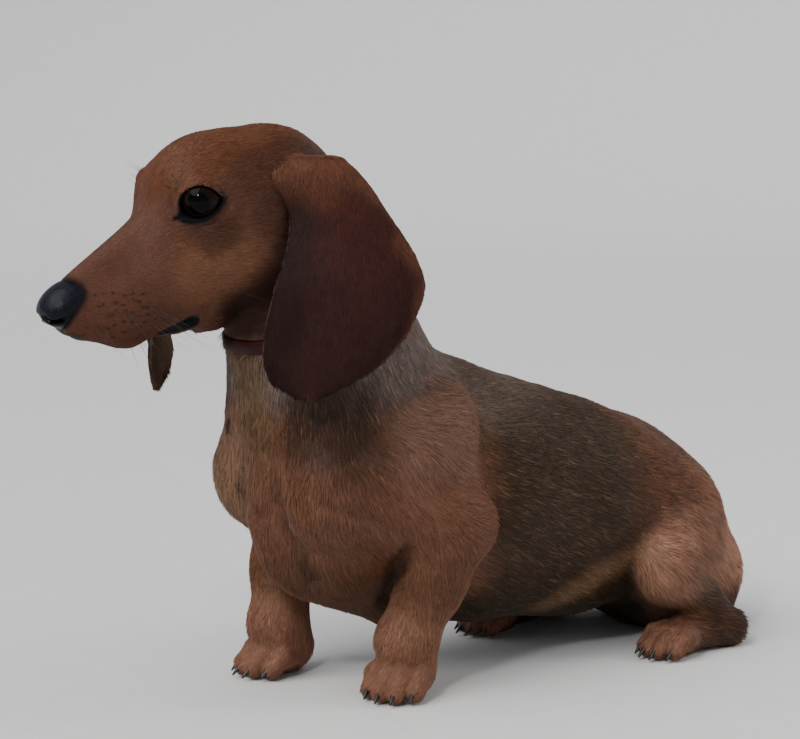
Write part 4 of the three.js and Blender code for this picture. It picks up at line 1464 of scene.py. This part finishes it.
def roots_at(place, out, on_head):
    """Roots at places on one of the skins, with which ear each is on and where on it."""
    which, across, down = nearest_ear(place) if on_head else np.zeros((3, len(place)))
    spot = {"which": which, "across": across, "down": down}
    return Roots(place=place, out=out, on_head=(which == 0) & on_head, **spot)


def has_hair(roots):
    """False inside the collar's cut, on the rims of lids, lips and nose, and under the feet."""
    p = roots.place
    cut_face = (np.abs(above_collar(p)) < 2.4) & (np.abs(roots.out @ COLLAR_UP) > 0.9) & (roots.which == 0)
    bare = bare_amount(roots) > 0.45
    on_nose = roots.on_head & (leather(head_place(p)) < 0.8)
    floor_side = (p[:, 2] < 1.5) & (roots.out[:, 2] < -0.5)
    return ~(cut_face | bare | on_nose | floor_side)


def head_and_throat_colours(roots):
    """The head's colours, which pass into the neck's just above the collar."""
    p = roots.place
    return layered(head_colours(p), (body_colours(p), ramp(above_collar(p) + noise(p, 8, 11) * 4, 9, 0)))


def colours_at(roots):
    """The coat's colour at each root, with the painted light and shade in it."""
    colour = np.empty((len(roots.place), 3))
    head = roots.on_head
    ear = roots.which > 0
    if head.any():
        colour[head] = head_and_throat_colours(roots.pick(head))
    if ear.any():
        colour[ear] = ear_colours(roots.pick(ear))
    rest = ~(head | ear)
    if rest.any():
        colour[rest] = body_colours(roots.place[rest])
    return colour


def by_part(roots, on_ears, on_head, on_body):
    return np.where(roots.which > 0, on_ears, np.where(roots.on_head, on_head, on_body))


def tuft_length(roots):
    p = roots.place
    face = mix(4.6, 1.8, ramp(head_place(p)[:, 0], -50, 50))
    body = mix(7.5, 4.5, ramp(forelegs_and_feet(p), 6, -2))
    body = np.where(ramp(paws(p), 2, -1) > 0.5, 3.0, body)
    return by_part(roots, 3.6, face, body)


# How far apart roots are
HEAD_SPACING = 0.78
BODY_SPACING = 1.12
# Tufts on ears, head and body: how wide they are, and how far they rise as a share of their length
TUFT_WIDTHS = (0.6, 0.5, 0.8)
TUFT_LIFTS = (0.04, 0.07, 0.08)
# Shades of a tuft at its root's left and right, its ridge and its tip
TUFT_SHADES = np.array([0.88, 0.88, 0.96, 1.1])
TUFT_ROUNDING = 0.45
ROOT_DEPTH = 0.25
RIDGE_HEIGHT = 0.08
RIDGE_RISE = 0.2
TIP_OVER_FLOOR = 0.4
# How long, wide and raised a tuft may be, as a share of what its place asks for
LENGTHS_VARY = (0.7, 1.25)
WIDTHS_VARY = (0.7, 1.3)
LIFTS_VARY = (0.4, 1.6)
WAYS_VARY = 0.10
TUFT_PATCH = 0.003


def grow_tufts(name, roots, axis, rng):
    """One coat piece: a slim four-faced wedge from each root, along the lie of the coat."""
    place, out = roots.place, roots.out
    n = len(place)
    lie = lie_of(roots)
    side = np.cross(out, lie)
    long = tuft_length(roots) * rng.uniform(*LENGTHS_VARY, n)
    wide = by_part(roots, *TUFT_WIDTHS) * rng.uniform(*WIDTHS_VARY, n)
    rise = long * by_part(roots, *TUFT_LIFTS) * rng.uniform(*LIFTS_VARY, n)
    lie = unit(lie + side * rng.normal(0, WAYS_VARY, n)[:, None])
    low = place - out * ROOT_DEPTH
    half = side * (wide / 2)[:, None]
    ridge = place + out * (RIDGE_HEIGHT + wide * RIDGE_RISE)[:, None]
    tip = place + lie * long[:, None] + out * rise[:, None]
    tip[:, 2] = np.maximum(tip[:, 2], TIP_OVER_FLOOR)
    points = np.stack([low - half, low + half, ridge, tip], 1).reshape(-1, 3)
    wedge = np.array([[0, 3, 2], [2, 3, 1], [1, 3, 0], [0, 2, 1]])
    faces = (np.arange(n)[:, None, None] * 4 + wedge).reshape(-1, 3)
    obj = make_object(name, points, faces)
    leaning = side * TUFT_ROUNDING
    normals = unit(np.stack([out - leaning, out + leaning, out, out + lie * 0.2], 1))
    obj.data.normals_split_custom_set_from_vertices(way_to_world(normals.reshape(-1, 3)).tolist())
    shades = np.ones((n, 4, 4))
    shades[:, :, :3] = hair_mix(roots, colours_at(roots), rng)[:, None] * TUFT_SHADES[None, :, None]
    store(obj, "coat", "FLOAT_COLOR", shades)
    store_patch(obj, place, axis, faces)
    return obj


def hair_mix(roots, colour, rng):
    """Makes each tuft lighter or darker than its neighbours: most on the grizzled neck and the saddle."""
    p = roots.place
    n = len(p)
    body = (roots.which == 0) & ~roots.on_head
    grizzle = ramp(neck(p), 6, -3) * ramp(p[:, 2], 140, 165) * body
    saddle = ramp(p[:, 0], -56, -80) * body
    spread = 0.21 + 0.12 * grizzle + 0.06 * saddle
    clump = noise(p, 3.2, 12) * (0.14 + 0.12 * grizzle + 0.08 * saddle)
    flecked = (rng.random(n) < 0.03 + 0.11 * saddle + 0.13 * grizzle) & (roots.which == 0)
    colour = layered(colour, (GOLD, flecked * (0.2 + 0.14 * body)))
    return colour * np.clip(1 + rng.normal(0, 1, n) * spread + clump, 0.4, 2.2)[:, None]


def store(obj, name, kind, values):
    """Stores a value for each point of an object's mesh."""
    layer = obj.data.attributes.new(name, kind, "POINT")
    field = {"FLOAT": "value", "FLOAT_VECTOR": "vector", "FLOAT_COLOR": "color"}[kind]
    layer.data.foreach_set(field, np.asarray(values, np.float32).ravel())


def store_patch(obj, place, axis, faces):
    """Each tuft's own small patch, at its root's place on the skin unrolled round an axis."""
    start, end = axis
    along = unit(end - start)
    across = unit(np.cross(along, UP if abs(along[2]) < 0.7 else FORWARD))
    d = place - start
    run = d @ along
    turn = np.arctan2(d @ np.cross(along, across), d @ across) / (2 * math.pi) + 0.5
    run = (run - run.min()) / max(np.ptp(run), 1e-6)
    middle = np.stack([0.01 + turn * 0.98, 0.01 + run * 0.98], -1)
    corners = np.array([[-0.5, -0.5], [0.5, -0.5], [0, -0.2], [0, 0.5]]) * TUFT_PATCH
    each = (middle[:, None] + corners[None]).reshape(-1, 2)
    layer = obj.data.uv_layers.new(name="OFBake")
    layer.data.foreach_set("uv", each[faces.ravel()].astype(np.float32).ravel())


def colour_skin(skin, on_head):
    """Stores the markings with their painted light and shade, the lie of the hair and the bare places on
    the skin.
    """
    roots = roots_at(points_of(skin), ways_out_of(skin), on_head)
    full = np.ones((len(roots.place), 4))
    full[:, :3] = colours_at(roots) * SKIN_SHADE
    store(skin, "coat", "FLOAT_COLOR", full)
    store(skin, "lie", "FLOAT_VECTOR", way_to_world(lie_of(roots)))
    store(skin, "bare", "FLOAT", bare_amount(roots))


def coat_pieces(roots):
    """Name, mask and unrolling axis of each coat piece."""
    p = roots.place
    f, l, u = p.T
    x = head_place(p)[:, 0]
    head = roots.on_head
    head_axis = (head_point(P(60, 0, -36)), head_point(P(-90, 0, -20)))
    yield "coat_muzzle", head & (x > 14), head_axis
    yield "coat_face", head & (x <= 14) & (x > -34), head_axis
    yield "coat_skull", head & (x <= -34), head_axis
    for k, s in enumerate(SIDES):
        middle = ears[s].points.reshape(-1, 3).mean(0)
        yield f"coat_ear_{s}", roots.which == k + 1, (middle + UP * 60, middle - UP * 60)
    rest = ~head & (roots.which == 0)
    on_tail = rest & (tail(p) < 2) & (f < -262)
    yield "coat_tail", on_tail, (P(-262, -4, 24), P(-300, -100, 8))
    rest &= ~on_tail
    on_foreleg = (f > -100) & (forelegs_and_feet(p) < 2) & (u < 92)
    on_haunch = (f <= -100) & ((haunches(p) < 1) | (hind_shanks(p) < 2) | (paws(p) < 2))
    for s, mine in (("left", l > 0), ("right", l <= 0)):
        yield f"coat_foreleg_{s}", rest & mine & on_foreleg, (elbow[s], forepaw[s])
        yield f"coat_haunch_{s}", rest & mine & on_haunch, (hip[s] + UP * 30, stifle[s] - UP * 40)
    on_neck = (u > 150) & (f > -70)
    rest &= ~(on_foreleg | on_haunch)
    trunk_axis = (chest_mid + FORWARD * 60, rump_end)
    yield "coat_neck", rest & on_neck, (neck_top, neck_base)
    yield "coat_chest", rest & ~on_neck & (f > -60), trunk_axis
    yield "coat_ribs", rest & ~on_neck & (f <= -60) & (f > -150), trunk_axis
    yield "coat_loin", rest & (f <= -150), trunk_axis


def make_coat(top, bottom):
    rng = np.random.default_rng(7)
    for skin, on_head, spacing in ((top, True, HEAD_SPACING), (bottom, False, BODY_SPACING)):
        roots = roots_at(*random_places(skin, spacing, rng), on_head)
        roots = roots.pick(has_hair(roots))
        for name, mask, axis in coat_pieces(roots):
            if mask.any():
                yield grow_tufts(name, roots.pick(mask), axis, rng)


# Eyes, nose, claws, whiskers and collar
def all_round(side, over, count):
    """Ways out from an axis, evenly all round it."""
    turn = 2 * np.pi * np.arange(count) / count
    return np.cos(turn)[:, None] * side + np.sin(turn)[:, None] * over


def bands(rings, count, closed=False, start=0):
    """Four-sided faces between rings of points, and from the last ring to the first if closed."""
    faces = []
    for k in range(rings if closed else rings - 1):
        low = start + k * count
        high = start + (k + 1) % rings * count
        for i in range(count):
            j = (i + 1) % count
            faces.append((low + i, low + j, high + j, high + i))
    return faces


def revolve(profile, at, along, count=64):
    """Points and faces of a closed shape: rings of (distance along, radius) about an axis."""
    side = unit(np.cross(along, UP))
    ways = all_round(side, np.cross(side, along), count)
    points = [at + along * far + ways * radius for far, radius in profile[1:-1]]
    points = np.concatenate([*points, [at + along * profile[0][0]], [at + along * profile[-1][0]]])
    rings = len(profile) - 2
    faces = bands(rings, count)
    first, last = rings * count, rings * count + 1
    for i in range(count):
        j = (i + 1) % count
        faces.append((first, j, i))
        faces.append((last, (rings - 1) * count + i, (rings - 1) * count + j))
    return points, faces


CORNEA_HALF_ANGLE = math.radians(38)
CORNEA_BULGE = 0.9
# How far the ball stays inside the eye's own radius
EYE_CLEARANCE = 0.5


def make_eye(name, side):
    """An eyeball with a clear bulge over the iris, looking the way its lids open."""
    along = HEAD_TURN @ mirror(EYE_WAY, side)
    radius = EYE_RADIUS - EYE_CLEARANCE
    angles = np.linspace(0, np.pi, 49)
    bulge = CORNEA_BULGE * np.maximum(0, np.cos(angles / CORNEA_HALF_ANGLE * np.pi / 2)) ** 1.2
    bulge = np.where(angles < CORNEA_HALF_ANGLE, bulge, 0)
    profile = [((radius + b) * math.cos(a), radius * math.sin(a)) for a, b in zip(angles, bulge)]
    centre = head_point(mirror(EYE_AT, side))
    points, faces = revolve(profile, centre, along)
    eye = make_object(name, points, faces)
    out = unit(points - centre)
    store(eye, "from_middle", "FLOAT", np.arccos(np.clip(out @ along, -1, 1)) / (np.pi / 2))
    store(eye, "ray_place", "FLOAT_VECTOR", unit(out - (out @ along)[:, None] * along))
    return eye


def make_nose():
    at = head_point(NOSE_AT)
    points, faces = surface(in_head(carve(1, leather, nostril)), at - 26, at + 26, 0.7)
    nose = make_object("nose_tip", points, faces)
    # how high each point is on the nose, which sets its painted highlight
    up = head_place(points_of(nose))[:, 2]
    store(nose, "height", "FLOAT", ramp(up, NOSE_AT[2] - 14, NOSE_AT[2] + 12))
    return nose


def tube(points, radii, sides=5):
    """A closed tapered tube through points."""
    rings = []
    for p, way, radius in zip(points, unit(np.gradient(points, axis=0)), radii):
        side = unit(np.cross(way, UP if abs(way[2]) < 0.9 else FORWARD))
        rings.append(p + radius * all_round(side, np.cross(way, side), sides))
    last = (len(points) - 1) * sides
    ends = [tuple(range(sides))[::-1], tuple(range(last, last + sides))]
    return np.concatenate(rings), bands(len(points), sides) + ends


def join_tubes(name, tubes):
    points, faces, start = [], [], 0
    for made, sides in tubes:
        points.append(made)
        faces += [tuple(start + i for i in face) for face in sides]
        start += len(made)
    return make_object(name, np.concatenate(points), faces)


def make_claws():
    """A curved, tapered claw from the end of every toe, clear of the floor."""
    t = np.linspace(0, 1, 9)[:, None]
    radii = 2.5 * (1 - 0.84 * t[:, 0] ** 1.4)
    tubes = []
    for foot in feet.values():
        for tip in foot["tips"]:
            line = tip + foot["along"] * (10.0 * t - 1.5) + UP * (1.6 - 5.6 * t**1.8)
            line[:, 2] = np.maximum(line[:, 2], 1.0)
            tubes.append(tube(line, radii, 10))
    claws = join_tubes("claws", tubes)
    lie = np.tile(way_to_world(FORWARD), (len(claws.data.vertices), 1))
    store(claws, "lie", "FLOAT_VECTOR", lie)
    return claws


# Whiskers in the head's frame: place, the way they point, length, how many, and how far they spread
WHISKERS = (
    (P(58, 15, -38), P(0.1, 0.75, -0.45), 24, 9, (9, 1, 6)),
    (P(40, 20, -42), P(-0.25, 0.8, -0.45), 26, 9, (9, 1, 6)),
    (P(44, 4, -57), P(0.0, 0.25, -0.95), 12, 10, (14, 5, 1)),
    (P(-4, 30, -44), P(-0.4, 0.6, -0.6), 26, 1, (3, 1, 2)),
    (P(4, 21, 13), P(0.55, 0.25, 0.75), 13, 6, (5, 3, 2)),
)
WHISKER_ROOT_RADIUS = 0.13


def make_whiskers(skin):
    """Whiskers of the muzzle, chin, cheeks and brows: thin, tapered and a little curved."""
    rng = np.random.default_rng(11)
    faces = [tuple(face.vertices) for face in skin.data.polygons]
    tree = bvhtree.BVHTree.FromPolygons(points_of(skin).tolist(), faces)
    t = np.linspace(0, 1, 8)[:, None]
    radii = WHISKER_ROOT_RADIUS * (1 - 0.85 * t[:, 0])
    tubes = []
    for place, way, length, count, spread in WHISKERS:
        for side in [1] * count + [-1] * count:
            at = head_point(mirror(place + rng.uniform(-1, 1, 3) * spread, side))
            near, _, _, _ = tree.find_nearest(Vector(at))
            out = HEAD_TURN @ mirror(unit(way + rng.normal(0, 0.14, 3)), side)
            long = length * rng.uniform(0.6, 1.15)
            line = np.array(near) + out * (long * t - 1.0) - UP * (long * 0.22 * t**2)
            tubes.append(tube(line + HEAD_FORWARD * (-0.18 * long * t**2), radii))
    return join_tubes("whiskers", tubes)


# The strap's section: how far each corner is out from the skin, and how far up it is in half widths
STRAP_SECTION = (
    (-1.2, -0.86),
    (-0.4, -1.0),
    (0.4, -0.97),
    (0.8, -0.84),
    (0.9, 0),
    (0.8, 0.84),
    (0.4, 0.97),
    (-0.4, 1.0),
    (-1.2, 0.86),
    (-1.3, 0),
)
STRAP_STEPS = 240
# Each corner is first set this far out from the neck's middle, and then drawn to its place in steps
STRAP_START = 20.0
STRAP_MOVES = 30
STRAP_PULL = 0.8


def make_collar():
    """A plain flat strap with rounded edges that lies on the neck."""
    half = COLLAR_WIDTH / 2
    way = all_round(unit(np.cross(LEFT, COLLAR_UP)), LEFT, STRAP_STEPS)
    columns = []
    for lift, up in STRAP_SECTION:
        start = COLLAR_AT + COLLAR_UP * up * half
        far = np.full(STRAP_STEPS, STRAP_START)
        for _ in range(STRAP_MOVES):
            far += STRAP_PULL * (lift - head_and_bust(start + way * far[:, None]))
        columns.append(start + way * far[:, None])
    n = len(STRAP_SECTION)
    collar = make_object("strap", np.stack(columns, 1).reshape(-1, 3), bands(STRAP_STEPS, n, closed=True))
    middle = columns[n // 2 - 1]
    run = np.repeat(np.cumsum(np.linalg.norm(np.roll(middle, -1, 0) - middle, axis=1)), n)
    across = np.tile([up * half for _, up in STRAP_SECTION], STRAP_STEPS)
    store(collar, "strap_place", "FLOAT_VECTOR", np.stack([run, across, 0 * run], -1) * MM)
    return collar


# Camera: where the photo's camera stood, fitted to the head, the feet and the horizon
PHOTO_WIDTH = 800
PHOTO_HEIGHT = 739
CAMERA_FOCUS = 2100.0
CAMERA_TURN = math.radians(-36.0)
CAMERA_HEIGHT = 309.0
HORIZON_ROW = 125.0
DOG_LEFT_OF_MIDDLE = 36.5
DOG_DISTANCE = 1147.0
SENSOR_WIDTH = 36.0


def make_camera():
    right = P(-math.cos(CAMERA_TURN), -math.sin(CAMERA_TURN), 0)
    ahead = P(math.sin(CAMERA_TURN), -math.cos(CAMERA_TURN), 0)
    dip = math.atan((PHOTO_HEIGHT / 2 - HORIZON_ROW) / CAMERA_FOCUS)
    at = right * DOG_LEFT_OF_MIDDLE - ahead * DOG_DISTANCE + UP * CAMERA_HEIGHT
    look = ahead * math.cos(dip) - UP * math.sin(dip)
    data = bpy.data.cameras.new("camera")
    data.sensor_fit = "HORIZONTAL"
    data.sensor_width = SENSOR_WIDTH
    data.lens = CAMERA_FOCUS / PHOTO_WIDTH * SENSOR_WIDTH
    camera = add_object("camera", data)
    camera.location = to_world(at)
    camera.rotation_euler = Vector(way_to_world(look)).to_track_quat("-Z", "Y").to_euler()
    bpy.context.scene.camera = camera


LAMPS_AIM_AT = Vector((0, 0, 0.15))


def make_light(kind, name, at, power, size, colour=(1, 1, 1)):
    """A lamp that shines at the dog. Size is an area's side in metres, or the sun's width in radians."""
    data = bpy.data.lights.new(name, kind)
    data.energy = power
    data.color = colour
    if kind == "SUN":
        data.angle = size
    else:
        data.size = size
    lamp = add_object(name, data)
    lamp.location = at
    lamp.rotation_euler = (LAMPS_AIM_AT - Vector(at)).to_track_quat("-Z", "Y").to_euler()


STAGE_RADIUS = 6.0
STAGE_BEND = 1.8
STAGE_HEIGHT = 2.6
STAGE_SIDES = 96
BEND_STEPS = 16


def make_stage():
    """A pale round floor that bends up into a wall a long way off."""
    flat = STAGE_RADIUS - STAGE_BEND
    turns = [math.pi / 2 * step / BEND_STEPS for step in range(BEND_STEPS + 1)]
    rings = [(flat + STAGE_BEND * math.sin(turn), STAGE_BEND * (1 - math.cos(turn))) for turn in turns]
    rings.append((STAGE_RADIUS, STAGE_HEIGHT))
    ways = all_round(P(1, 0, 0), P(0, 1, 0), STAGE_SIDES)
    points = [P(0, 0, 0)[None], *[ways * radius + P(0, 0, height) for radius, height in rings]]
    faces = [(0, 1 + k, 1 + (k + 1) % STAGE_SIDES) for k in range(STAGE_SIDES)]
    faces += [face[::-1] for face in bands(len(rings), STAGE_SIDES, start=1)]
    mesh = bpy.data.meshes.new("floor")
    mesh.from_pydata(np.concatenate(points).tolist(), [], faces)
    mesh.polygons.foreach_set("use_smooth", np.ones(len(faces), bool))
    mesh.materials.append(floor_look())
    add_object("floor", mesh)


def make_studio():
    make_stage()
    make_light("SUN", "soft_sun", (-1.2, 0.0, 1.6), 2.15, 0.9, (1.0, 0.98, 0.95))
    make_light("AREA", "front", (-1.3, -0.9, 1.2), 9, 0.2)
    make_light("AREA", "rear", (1.3, -0.8, 1.0), 6, 0.6, (1.0, 0.95, 0.88))
    world = bpy.data.worlds.new("world")
    world.use_nodes = True
    background = world.node_tree.nodes["Background"]
    background.inputs["Color"].default_value = (0.88, 0.93, 1.0, 1)
    background.inputs["Strength"].default_value = 0.5
    bpy.context.scene.world = world


# Model
HEAD_NODES = ("head", "jaw", "ear_left", "ear_right")
LIMB_NODES = [f"{part}_{s}" for part in ("foreleg", "forepaw", "hindleg", "hindpaw") for s in SIDES]
BODY_NODES = ("neck", "chest", "loin", "tail", *LIMB_NODES)


def dress(obj, look, slot, *replaced):
    """Gives a piece its look and its place in the model."""
    obj.data.materials.append(look)
    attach(obj, "root")
    if replaced:
        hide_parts(*replaced)


def main():
    top, bottom = make_skins()
    short_coat = skin_look()
    for skin, replaced in ((top, HEAD_NODES), (bottom, BODY_NODES)):
        colour_skin(skin, skin is top)
        dress(skin, short_coat, "red_coat", *replaced)
    wet = eye_look()
    for name, side in (("eye_left", 1), ("eye_right", -1)):
        dress(make_eye(name + "_ball", side), wet, "eye", name)
    dress(make_nose(), leather_look(), "nose_leather", "nose")
    dress(make_claws(), claw_look(), "nose_leather")
    dress(make_whiskers(top), whisker_look(), "red_coat")
    dress(make_collar(), strap_look(), "strap", "collar")
    body_tufts = tuft_look("tufts", 0.24)
    ear_tufts = tuft_look("ear_tufts", 0.1)
    for piece in make_coat(top, bottom):
        on_ear = "ear" in piece.name
        dress(piece, ear_tufts if on_ear else body_tufts, "ear_coat" if on_ear else "red_coat")
    make_camera()
    make_studio()


main()
